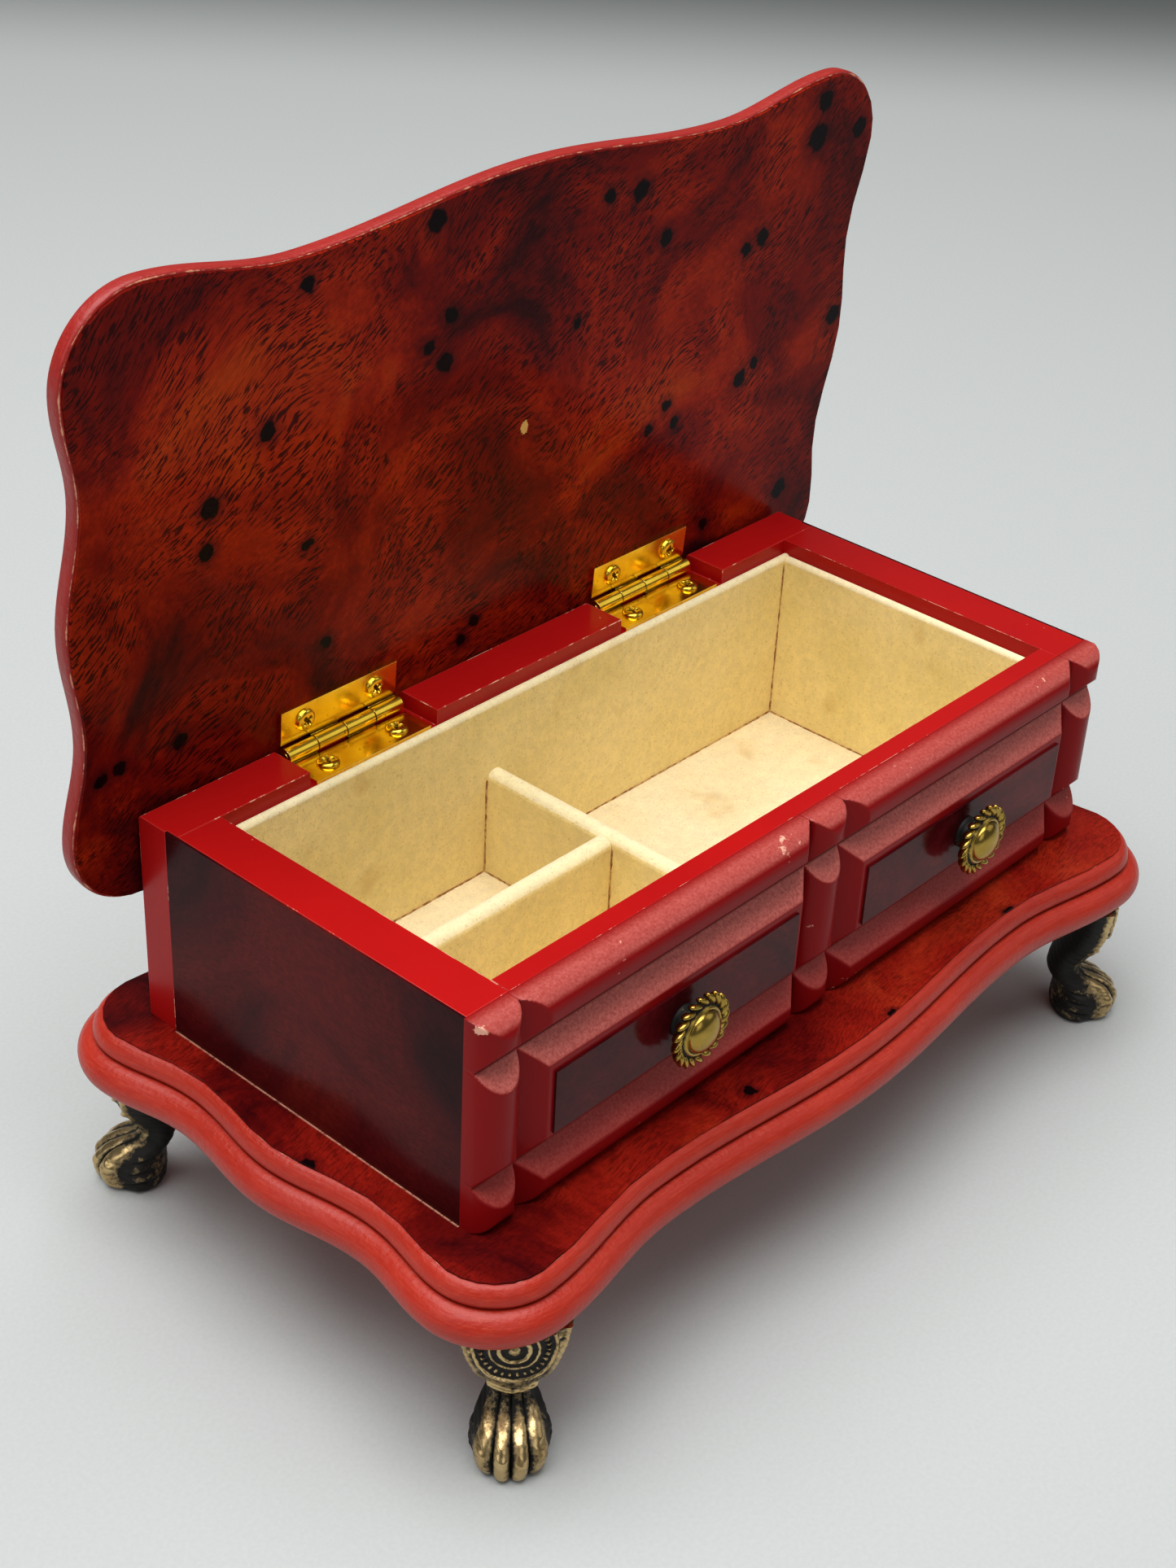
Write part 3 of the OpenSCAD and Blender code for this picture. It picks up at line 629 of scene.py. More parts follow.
@dataclass(frozen=True)
class BurlVeneer:
    """Figured burl veneer stained mahogany red under a clear gloss coat.

    Dark clouds, small black eyes in clusters and short dark pores that follow the swirling grain.
    """
    name: str
    turn: tuple[float, float, float] = (0.0, 0.0, 0.0)
    move: tuple[float, float, float] = (0.0, 0.0, 0.0)
    knots: tuple[Knot, ...] = ()
    dark: str = "#34080C"
    middle: str = "#721007"
    light: str = "#9C240A"
    glow: str = "#B03C0E"
    ink: str = "#0C0305"
    pore: str = "#260506"
    grain_angle: float = -36.0
    pore_depth: float = 0.9
    balance: float = 0.0
    scratches: float = 1.0
    flake: Point2 | None = None
    gloss: float = 0.2
    mirror: float = 0.1
    skirt: tuple[float, float, float] | None = None
    bare: str = "#D8A860"
    # Pale colour of the painted highlight along the lacquer bead at the case's foot
    bead_highlight: str = "#C88C74"

    def eyes(self, tree: bpy.types.NodeTree, point: bpy.types.NodeSocket) -> bpy.types.NodeSocket:
        """Distance to the nearest knot, in knot radii.

        Args:
            tree: Tree of the material.
            point: Coordinates on the sheet.

        Returns:
            The distance, 1 at the rim of a knot.
        """
        ragged = jostled(tree, point, 420.0, 3.0, (2.6 * MM,) * 3)
        flat = add_node(tree, VECTOR, {0: ragged, 1: (1.0, 1.0, 0.0)}, operation="MULTIPLY")
        nearest: Any = 9.0
        for knot in self.knots:
            away = add_node(tree, VECTOR, {0: flat.outputs[0], 1: (knot.x * MM, knot.y * MM, 0.0)},
                            operation="DISTANCE")
            radii = add_node(tree, MATH, {0: away.outputs["Value"], 1: 1.0 / (knot.radius * MM)},
                             operation="MULTIPLY")
            nearest = add_node(tree, MATH, {0: radii.outputs[0], 1: nearest, 2: 0.25},
                               operation="SMOOTH_MIN").outputs[0]
        return nearest

    def figure(self, tree: bpy.types.NodeTree, point: bpy.types.NodeSocket,
               swirled: bpy.types.NodeSocket) -> bpy.types.NodeSocket:
        """Colour of the stained clouds, 40 mm and broken at their rims.

        Args:
            tree: Tree of the material.
            point: Coordinates on the sheet.
            swirled: The same, pushed along by the grain.

        Returns:
            The colour.
        """
        cloud = add_node(tree, NOISE, {"Vector": swirled, "Scale": 24.0, "Detail": 7.0, "Roughness": 0.62,
                                       "Distortion": 0.7})
        drift = add_node(tree, NOISE, {"Vector": point, "Scale": 9.0, "Detail": 2.0})
        mixed = add_node(tree, MATH, {0: drift.outputs["Fac"], 1: 0.55, 2: cloud.outputs["Fac"]},
                         operation="MULTIPLY_ADD")
        level = add_node(tree, MATH, {0: mixed.outputs[0], 1: -0.275 + self.balance}, operation="ADD")
        return add_node(tree, RAMP, {0: level.outputs[0]}, stops=(
            (0.30, self.dark), (0.44, self.middle), (0.58, self.light), (0.74, self.glow))).outputs[0]

    def pores(self, tree: bpy.types.NodeTree, point: bpy.types.NodeSocket,
              swirled: bpy.types.NodeSocket) -> bpy.types.NodeSocket:
        """Amount of pore: dashes 0.5 mm wide and 3 mm long, in patches.

        Args:
            tree: Tree of the material.
            point: Coordinates on the sheet.
            swirled: The same, pushed along by the grain.

        Returns:
            The amount, from 0 to 1.
        """
        drawn = add_node(tree, MAPPING, {"Vector": swirled,
                                         "Rotation": (0.0, 0.0, -math.radians(self.grain_angle))})
        stretched = add_node(tree, VECTOR, {0: drawn.outputs[0], 1: (320.0, 1950.0, 320.0)},
                             operation="MULTIPLY")
        dash = add_node(tree, NOISE, {"Vector": stretched.outputs[0], "Scale": 1.0, "Detail": 2.0,
                                      "Roughness": 0.5})
        pore = add_node(tree, RAMP, {0: dash.outputs["Fac"]}, stops=((0.52, 0.0), (0.575, 1.0)))
        patch = add_node(tree, NOISE, {"Vector": point, "Scale": 60.0, "Detail": 2.0})
        where = add_node(tree, RAMP, {0: patch.outputs["Fac"]},
                         stops=((0.36, 0.15), (0.52, self.pore_depth)))
        return add_node(tree, MATH, {0: pore.outputs[0], 1: where.outputs[0]},
                        operation="MULTIPLY").outputs[0]

    def chips(self, tree: bpy.types.NodeTree, point: bpy.types.NodeSocket,
              mottle: bpy.types.NodeSocket) -> bpy.types.NodeSocket:
        """Amount of pale knocks in the coat, 1 mm, and of the one larger flake.

        Args:
            tree: Tree of the material.
            point: Coordinates on the sheet.
            mottle: Fine noise that makes the rims ragged.

        Returns:
            The amount, 0 or 1.
        """
        cells = add_node(tree, VORONOI, {"Vector": point, "Scale": 62.0})
        chance = add_node(tree, "ShaderNodeSeparateColor", {0: cells.outputs["Color"]})
        few = add_node(tree, MATH, {0: chance.outputs[0], 1: 1.0 - 0.09 * self.scratches},
                       operation="GREATER_THAN")
        rim = add_node(tree, MATH, {0: mottle, 1: 0.05, 2: cells.outputs["Distance"]},
                       operation="MULTIPLY_ADD")
        spot = add_node(tree, MATH, {0: rim.outputs[0], 1: 0.055}, operation="LESS_THAN")
        chips = add_node(tree, MATH, {0: few.outputs[0], 1: spot.outputs[0]}, operation="MULTIPLY").outputs[0]
        if self.flake:
            squash = 0.62
            centre = (self.flake[0] * MM, self.flake[1] * MM * squash, 0.0)
            flat = add_node(tree, VECTOR, {0: point, 1: (1.0, squash, 0.0)}, operation="MULTIPLY")
            spread = add_node(tree, VECTOR, {0: flat.outputs[0], 1: centre}, operation="DISTANCE")
            ragged = add_node(tree, MATH, {0: mottle, 1: 2.4 * MM, 2: spread.outputs["Value"]},
                              operation="MULTIPLY_ADD")
            gold = add_node(tree, MATH, {0: ragged.outputs[0], 1: 2.3 * MM}, operation="LESS_THAN")
            chips = add_node(tree, MATH, {0: chips, 1: gold.outputs[0]}, operation="MAXIMUM").outputs[0]
        return chips

    def bead_highlight_line(self, tree: bpy.types.NodeTree, point: bpy.types.NodeSocket,
                  mottle: bpy.types.NodeSocket) -> bpy.types.NodeSocket:
        """Amount of painted highlight along the lacquer bead at the foot of the case's two sides, 0.3 mm wide.

        Args:
            tree: Tree of the material.
            point: Coordinates on the sheet.
            mottle: Fine noise that breaks the line.

        Returns:
            The amount, from 0 to 1.
        """
        half, front, rear = (v * MM for v in self.skirt)
        axes = add_node(tree, "ShaderNodeSeparateXYZ", {0: point})
        side = add_node(tree, MATH, {0: axes.outputs[0]}, operation="ABSOLUTE")
        off = add_node(tree, RANGE, {"Value": side.outputs[0], "From Min": half + 0.55 * MM,
                                     "From Max": half + 0.25 * MM, "To Max": 0.85})
        beside = add_node(tree, MATH, {0: axes.outputs[1], 1: (front + rear) / 2, 2: (rear - front) / 2},
                          operation="COMPARE")
        ragged = add_node(tree, RAMP, {0: mottle}, stops=((0.36, 0.2), (0.5, 1.0)))
        line = add_node(tree, MATH, {0: off.outputs[0], 1: beside.outputs[0]}, operation="MULTIPLY")
        return add_node(tree, MATH, {0: line.outputs[0], 1: ragged.outputs[0]},
                        operation="MULTIPLY").outputs[0]

    def material(self) -> bpy.types.Material:
        """Builds the material."""
        material, tree = new_material(self.name)
        point = object_point(tree, self.turn, self.move)
        # Swirl of the grain: 50 mm eddies pushed up to 13 mm
        swirled = jostled(tree, point, 20.0, 1.5, (26 * MM, 26 * MM, 0.0))
        colour = self.figure(tree, point, swirled)
        # Fine mottling, 1.4 mm
        mottle = add_node(tree, NOISE, {"Vector": swirled, "Scale": 700.0, "Detail": 4.0,
                                        "Roughness": 0.7}).outputs["Fac"]
        fleck = add_node(tree, RAMP, {0: mottle}, stops=((0.3, 0.72), (0.7, 1.12)))
        colour = blend_colours(tree, 1.0, colour, fleck.outputs[0], Blend.STAIN)
        pores = self.pores(tree, point, swirled)
        colour = blend_colours(tree, pores, colour, linear(self.pore))
        if self.knots:
            near = self.eyes(tree, point)
            halo = add_node(tree, RANGE, {"Value": near, "From Min": 1.0, "From Max": 2.8, "To Min": 0.55,
                                          "To Max": 0.0}, interpolation_type="SMOOTHSTEP")
            colour = blend_colours(tree, halo.outputs[0], colour, linear(self.dark))
            eye = add_node(tree, RANGE, {"Value": near, "From Min": 1.25, "From Max": 0.95})
            colour = blend_colours(tree, eye.outputs[0], colour, linear(self.ink))
        colour = blend_colours(tree, self.chips(tree, point, mottle), colour, linear(self.bare))
        # Painted highlight of the lacquer bead at the foot of the case's sides
        if self.skirt:
            colour = blend_colours(tree, self.bead_highlight_line(tree, point, mottle), colour, linear(self.bead_highlight))
        smear = add_node(tree, NOISE, {"Vector": point, "Scale": 55.0, "Detail": 5.0})
        rough = add_node(tree, RANGE, {"Value": smear.outputs["Fac"], "To Min": self.gloss - 0.05,
                                       "To Max": self.gloss + 0.1})
        peel = add_node(tree, NOISE, {"Vector": point, "Scale": 260.0, "Detail": 2.0})
        soft = add_node(tree, BUMP, {"Height": peel.outputs["Fac"], "Strength": 0.035, "Distance": 0.4 * MM})
        sunk = add_node(tree, BUMP, {"Height": pores, "Strength": 0.12, "Distance": 0.1 * MM,
                                     "Normal": soft.outputs[0]}, invert=True)
        surface(tree, {"Base Color": colour, "Roughness": rough.outputs[0], "Normal": sunk.outputs[0],
                       "Coat Weight": 0.03, "Coat Roughness": 0.08, "Specular IOR Level": self.mirror})
        return material


@dataclass(frozen=True)
class FlockedCard:
    """Rayon flock blown onto glued card: matt, warm, with darker fibres and clumps."""
    name: str
    body: str = "#F7E19E"
    shade: str = "#E2CC78"
    fibre: str = "#C8A050"
    stain: str = "#BE9038"
    clumping: float = 0.5

    def material(self) -> bpy.types.Material:
        """Builds the material."""
        material, tree = new_material(self.name)
        point = object_point(tree)
        cloud = add_node(tree, NOISE, {"Vector": point, "Scale": 40.0, "Detail": 5.0, "Roughness": 0.6})
        spread = add_node(tree, RAMP, {0: cloud.outputs["Fac"]}, stops=((0.38, 0.0), (0.68, 1.0)))
        amount = add_node(tree, MATH, {0: spread.outputs[0], 1: self.clumping}, operation="MULTIPLY")
        colour = blend_colours(tree, amount.outputs[0], linear(self.body), linear(self.shade))
        # Single dark fibres and clumps, 0.5 mm
        grit = add_node(tree, NOISE, {"Vector": point, "Scale": 1700.0, "Detail": 3.0, "Roughness": 0.75})
        dots = add_node(tree, RAMP, {0: grit.outputs["Fac"]}, stops=((0.3, 0.62), (0.44, 0.0)))
        colour = blend_colours(tree, dots.outputs[0], colour, linear(self.fibre))
        fine = add_node(tree, NOISE, {"Vector": point, "Scale": 320.0, "Detail": 6.0, "Roughness": 0.8})
        rubbed = add_node(tree, RAMP, {0: fine.outputs["Fac"]}, stops=((0.4, 0.9), (0.62, 1.04)))
        colour = blend_colours(tree, 1.0, colour, rubbed.outputs[0], Blend.STAIN)
        patch = add_node(tree, NOISE, {"Vector": point, "Scale": 75.0, "Detail": 2.0})
        mark = add_node(tree, RAMP, {0: patch.outputs["Fac"]}, stops=((0.62, 0.0), (0.78, 0.4)))
        colour = blend_colours(tree, mark.outputs[0], colour, linear(self.stain))
        both = add_node(tree, MATH, {0: grit.outputs["Fac"], 1: fine.outputs["Fac"]}, operation="ADD")
        bump = add_node(tree, BUMP, {"Height": both.outputs[0], "Strength": 0.35, "Distance": 0.3 * MM})
        surface(tree, {"Base Color": colour, "Roughness": 0.95, "Normal": bump.outputs[0],
                       "Sheen Weight": 0.25,
                       "Sheen Roughness": 0.5, "Specular IOR Level": 0.15})
        return material


@dataclass(frozen=True)
class PolishedBrass:
    """Bright brass plate on stamped steel: yellow, mirror-like, with rolling marks and a few dull spots."""
    name: str = "bright brass plate"
    body: str = "#FFD648"
    shade: str = "#E8B22C"
    # Dark of the dull spots of dirt, and of the painted shade in the screws' recesses and the hinge crease
    grime_and_shade: str = "#3A2404"
    pin: Point2 | None = None
    knuckle_r: float = 2.05

    def material(self) -> bpy.types.Material:
        """Builds the material, with painted shade in the screws' cross recesses, from their attribute, and in
        the leaf's crease along the hinge line, over a few dull spots of dirt.
        """
        material, tree = new_material(self.name)
        point = object_point(tree)
        grime_and_shade = add_node(tree, ATTRIBUTE, attribute_name="grime_and_shade").outputs["Fac"]
        if self.pin:
            # Painted shade in the crease of the leaf beside the knuckles
            flat = add_node(tree, VECTOR, {0: point, 1: (0.0, 1.0, 1.0)}, operation="MULTIPLY")
            away = add_node(tree, VECTOR, {0: flat.outputs[0], 1: (0.0, self.pin[0] * MM, self.pin[1] * MM)},
                            operation="DISTANCE").outputs["Value"]
            close = add_node(tree, RANGE, {"Value": away, "From Min": (self.knuckle_r + 1.0) * MM,
                                           "From Max": (self.knuckle_r + 0.2) * MM})
            beside = add_node(tree, MATH, {0: away, 1: (self.knuckle_r + 0.05) * MM},
                              operation="GREATER_THAN")
            crease = add_node(tree, MATH, {0: close.outputs[0], 1: beside.outputs[0]}, operation="MULTIPLY")
            grime_and_shade = add_node(tree, MATH, {0: grime_and_shade, 1: crease.outputs[0]}, operation="MAXIMUM").outputs[0]
        cloud = add_node(tree, NOISE, {"Vector": point, "Scale": 160.0, "Detail": 5.0})
        patchy = add_node(tree, RAMP, {0: cloud.outputs["Fac"]}, stops=((0.42, 0.0), (0.7, 0.8)))
        colour = blend_colours(tree, patchy.outputs[0], linear(self.body), linear(self.shade))
        spots = add_node(tree, NOISE, {"Vector": point, "Scale": 900.0, "Detail": 3.0})
        dirt = add_node(tree, RAMP, {0: spots.outputs["Fac"]}, stops=((0.66, 0.0), (0.74, 0.7)))
        # Dull spots of dirt, joined by the painted shade of the recesses and the crease
        dirt_and_shade = add_node(tree, MATH, {0: dirt.outputs[0], 1: grime_and_shade}, operation="MAXIMUM")
        colour = blend_colours(tree, dirt_and_shade.outputs[0], colour, linear(self.grime_and_shade))
        # Rolling marks run along the hinge, 0.15 mm apart
        rolled = add_node(tree, VECTOR, {0: point, 1: (90.0, 2600.0, 2600.0)}, operation="MULTIPLY")
        lines = add_node(tree, NOISE, {"Vector": rolled.outputs[0], "Scale": 1.0, "Detail": 2.0})
        rough = add_node(tree, RANGE, {"Value": cloud.outputs["Fac"], "To Min": 0.1, "To Max": 0.28})
        bump = add_node(tree, BUMP, {"Height": lines.outputs["Fac"], "Strength": 0.04, "Distance": 0.05 * MM})
        wave = add_node(tree, NOISE, {"Vector": point, "Scale": 130.0, "Detail": 1.0})
        bent = add_node(tree, BUMP, {"Height": wave.outputs["Fac"], "Strength": 0.1, "Distance": 0.6 * MM,
                                     "Normal": bump.outputs[0]})
        surface(tree, {"Base Color": colour, "Roughness": rough.outputs[0], "Metallic": 1.0,
                       "Normal": bent.outputs[0]})
        return material


@dataclass(frozen=True)
class AntiqueBrass:
    """Cast brass blackened with sulphide and rubbed back: bright on the high places, black in the hollows."""
    name: str = "antiqued cast brass"
    bright: str = "#D8C090"
    warm: str = "#A8844C"
    black: str = "#0C0906"
    shine: float = 0.26
    patina_and_shade: float = 0.9

    def material(self) -> bpy.types.Material:
        """Builds the material, with the piece's attribute of patina and painted shade as the depth of its
        darkening.
        """
        material, tree = new_material(self.name)
        point = object_point(tree)
        hollow = add_node(tree, ATTRIBUTE, attribute_name="patina_and_shade").outputs["Fac"]
        cloud = add_node(tree, NOISE, {"Vector": point, "Scale": 240.0, "Detail": 5.0, "Roughness": 0.65})
        metal = blend_colours(tree, cloud.outputs["Fac"], linear(self.bright), linear(self.warm))
        pits = add_node(tree, NOISE, {"Vector": point, "Scale": 900.0, "Detail": 4.0, "Roughness": 0.7})
        sum_a = add_node(tree, MATH, {0: cloud.outputs["Fac"], 1: pits.outputs["Fac"]}, operation="ADD")
        sum_b = add_node(tree, MATH, {0: hollow, 1: 1.0, 2: sum_a.outputs[0]}, operation="MULTIPLY_ADD")
        dark = add_node(tree, RANGE, {"Value": sum_b.outputs[0], "From Min": 1.55 - 0.5 * self.patina_and_shade,
                                      "From Max": 1.95 - 0.5 * self.patina_and_shade})
        colour = blend_colours(tree, dark.outputs[0], metal, linear(self.black))
        rough = add_node(tree, RANGE, {"Value": dark.outputs[0], "To Min": self.shine,
                                       "To Max": 0.6})
        metallic = add_node(tree, RANGE, {"Value": dark.outputs[0], "To Min": 1.0, "To Max": 0.35})
        bump = add_node(tree, BUMP, {"Height": pits.outputs["Fac"], "Strength": 0.35, "Distance": 0.12 * MM})
        surface(tree, {"Base Color": colour, "Roughness": rough.outputs[0], "Metallic": metallic.outputs[0],
                       "Normal": bump.outputs[0]})
        return material


@dataclass(frozen=True)
class HideGlue:
    """Dried brown glue squeezed out of a corner: amber, rough, with crumbs of flock."""
    name: str = "dried glue bead"
    body: str = "#8A5420"
    crumb: str = "#C8A060"

    def material(self) -> bpy.types.Material:
        """Builds the material."""
        material, tree = new_material(self.name)
        point = object_point(tree)
        crumbs = add_node(tree, NOISE, {"Vector": point, "Scale": 600.0, "Detail": 4.0})
        amount = add_node(tree, RAMP, {0: crumbs.outputs["Fac"]}, stops=((0.42, 0.0), (0.6, 1.0)))
        colour = blend_colours(tree, amount.outputs[0], linear(self.body), linear(self.crumb))
        bump = add_node(tree, BUMP, {"Height": crumbs.outputs["Fac"], "Strength": 0.5, "Distance": 0.2 * MM})
        surface(tree, {"Base Color": colour, "Roughness": 0.75, "Normal": bump.outputs[0]})
        return material


@dataclass(frozen=True)
class StudioPaper:
    """Matt pale grey background paper, with painted shade that darkens it towards its far end."""
    ahead: Point2
    name: str = "grey background paper with painted far shade"
    body: str = "#B0B3B2"
    fleck: str = "#BEC1C0"
    far_shade: str = "#646866"
    far_shade_from: float = 0.84
    far_shade_to: float = 1.16

    def material(self) -> bpy.types.Material:
        """Builds the material."""
        material, tree = new_material(self.name)
        point = object_point(tree)
        mottle = add_node(tree, NOISE, {"Vector": point, "Scale": 900.0, "Detail": 2.0})
        amount = add_node(tree, RAMP, {0: mottle.outputs["Fac"]}, stops=((0.3, 0.3), (0.7, 0.6)))
        colour = blend_colours(tree, amount.outputs[0], linear(self.body), linear(self.fleck))
        # Painted shade towards the paper's far end
        away = add_node(tree, VECTOR, {0: point, 1: (*self.ahead, 0.0)}, operation="DOT_PRODUCT")
        far_shade = add_node(tree, RANGE, {"Value": away.outputs["Value"], "From Min": self.far_shade_from,
                                      "From Max": self.far_shade_to}, interpolation_type="SMOOTHSTEP")
        colour = blend_colours(tree, far_shade.outputs[0], colour, linear(self.far_shade))
        surface(tree, {"Base Color": colour, "Roughness": 0.9, "Specular IOR Level": 0.1})
        return material


# ---- The serpentine outline and its mouldings ----

@dataclass
class Serpentine:
    """The outline that the plinth and the lid share: crests with hollows between, and round corners."""
    out_x: float
    out_y: float
    corner_r: float = 20.0
    hollow_front: float = 5.0
    hollow_side: float = 3.6
    hollow_front_at: float = 0.63
    hollow_side_at: float = 0.54
    side_steps: int = 34
    corner_steps: int = 20
    long_steps: int = 60

    @staticmethod
    def wave(t: float, at: float, end: float, depth: float) -> float:
        """How far the edge is drawn in at t, between a crest at 0, a hollow at `at` and a crest at `end`."""
        part = t / at if t < at else (end - t) / (end - at)
        return depth * (1 - math.cos(math.pi * part)) / 2

    def points(self) -> np.ndarray:
        """Outline points in millimetres, counterclockwise from the middle of the right edge."""
        crest_x, crest_y = self.out_x - self.corner_r, self.out_y - self.corner_r
        quarter: list[Point2] = []
        for i in range(self.side_steps):
            y = crest_y * i / self.side_steps
            quarter.append((self.out_x - self.wave(y, self.hollow_side_at * crest_y, crest_y,
                                                   self.hollow_side), y))
        for i in range(self.corner_steps):
            a = math.pi / 2 * i / self.corner_steps
            quarter.append((crest_x + self.corner_r * math.cos(a), crest_y + self.corner_r * math.sin(a)))
        for i in range(self.long_steps):
            x = crest_x * (1 - i / self.long_steps)
            quarter.append((x, self.out_y - self.wave(x, self.hollow_front_at * crest_x, crest_x,
                                                      self.hollow_front)))
        half = quarter + [(0.0, self.out_y)] + [(-x, y) for x, y in reversed(quarter[1:])]
        return np.array(half + [(-x, -y) for x, y in half])

    def normals(self, points: np.ndarray) -> np.ndarray:
        """Outward unit normals of the outline."""
        along = np.roll(points, -1, axis=0) - np.roll(points, 1, axis=0)
        out = np.stack([along[:, 1], -along[:, 0]], axis=1)
        return out / np.linalg.norm(out, axis=1, keepdims=True)


def arc(centre: Point2, radius: Point2, start: float, end: float, steps: int) -> list[Point2]:
    """Points of an elliptical arc, with angles in degrees from the inward direction.

    Args:
        centre: Inset and height of the centre.
        radius: Radii along the inset and the height.
        start: First angle.
        end: Last angle.
        steps: Number of pieces.

    Returns:
        Inset and height of each point.
    """
    angles = (math.radians(start + (end - start) * i / steps) for i in range(steps + 1))
    return [(centre[0] + radius[0] * math.cos(a), centre[1] + radius[1] * math.sin(a)) for a in angles]


@dataclass
class MouldedBoard:
    """A board with a moulding routed round its serpentine edge."""
    node: str
    outline: Serpentine
    profile: list[Point2]
    groove: Point2
    arrises: tuple[Point2, ...]
    place: Matrix = field(default_factory=lambda: Matrix.Identity(4))

    def near(self, spot: Point2, reach: float) -> np.ndarray:
        """How near each profile point is to a spot, from 1 on it to 0 at the reach."""
        gaps = [math.dist(p, spot) for p in self.profile]
        return np.clip(1 - np.array(gaps) / reach, 0, 1)

    def build(self, finish: bpy.types.Material) -> bpy.types.Object:
        """Builds the board around its node's place.

        Args:
            finish: Material of the board.

        Returns:
            The piece.
        """
        rim = self.outline.points()
        out = self.outline.normals(rim)
        count, rows = len(rim), len(self.profile)
        rings = [np.column_stack([rim - out * inset, np.full(count, z)]) for inset, z in self.profile]
        points = np.concatenate(rings) * MM
        turned = np.array([self.place @ Vector(p) for p in points])
        faces: list[Sequence[int]] = list(grid_faces(rows, count, True))
        faces.append(tuple(range(count - 1, -1, -1)))
        faces.append(tuple(range((rows - 1) * count, rows * count)))
        # Painted shade on the rings near the groove
        hollow = np.repeat(self.near(self.groove, 0.95), count)
        arris = np.repeat(np.max([self.near(spot, 0.5) for spot in self.arrises], axis=0), count)
        piece = mesh_object(f"{self.node}_moulded", turned, faces, {"hollow": hollow, "arris": arris})
        outward(piece)
        self.lay_grain(piece, rim)
        for flat in piece.data.polygons[-2:]:
            flat.use_smooth = False
        piece.data.materials.append(finish)
        settle(piece, self.node)
        return piece

    def lay_grain(self, piece: bpy.types.Object, rim: np.ndarray) -> None:
        """Lays coordinates along the edge and across the moulding, in metres.

        Args:
            piece: The board.
            rim: Outline points.
        """
        count = len(rim)
        along = np.concatenate([[0], np.cumsum(np.linalg.norm(np.diff(rim, axis=0), axis=1))]) * MM
        steps = np.linalg.norm(np.diff(np.array(self.profile), axis=0), axis=1)
        across = np.concatenate([[0], np.cumsum(steps)]) * MM
        layer = piece.data.uv_layers.new(name="grain")
        corners = np.array([loop.vertex_index for loop in piece.data.loops])
        ring, step = corners // count, corners % count
        layer.data.foreach_set("uv", np.stack([along[step], across[ring]], axis=1).astype(np.float32).ravel())
        log.info("%s has its grain along %d rings", piece.name, len(self.profile))


@dataclass
class Plinth:
    """The moulded plinth board and its veneered ledge."""
    corner_r: float = 20.0

    def board(self) -> bpy.types.Object:
        """The routed board: a full bead, a groove and a quarter round up to the veneer."""
        low, high = box_mm("plinth_board")
        z0, height = low[2], high[2] - low[2]
        bead = arc((4.7, 4.75), (4.7, 4.75), 235, 100, 22)
        quarter = arc((6.6, 9.9), (2.9, height - 9.9), 178, 92, 12)
        profile = [(3.6, 0.0)] + bead[1:] + [(4.3, 9.55), (5.3, 9.4), (5.3, 9.9), (4.1, 10.05)] + quarter[1:]
        profile += [(6.5, height)]
        place = Matrix.Translation((0, 0, z0 * MM))
        return MouldedBoard("plinth_board", Serpentine(high[0], high[1], self.corner_r), profile, (4.8, 9.7),
                            ((6.5, height),), place).build(MouldingLacquer().material())

    def build(self) -> None:
        """Builds the plinth."""
        self.board()
        low, high = box_mm("side_veneer_right")
        eyes = ((-60, -64, 1.8), (-34, -60, 1.4), (66, -62, 1.6), (-120, -10, 2.0), (118, 30, 2.4),
                (60, 63, 2.6), (12, -66, 1.3))
        ledge = BurlVeneer("burl veneer of the ledge", knots=tuple(Knot(*eye) for eye in eyes),
                           skirt=(high[0], low[1], high[1]), dark="#2A0408", middle="#620C0A",
                           light="#901A10", glow="#AC3018", grain_angle=8.0, balance=0.03, scratches=1.6,
                           pore_depth=0.4)
        dress("plinth_veneer", ledge.material())


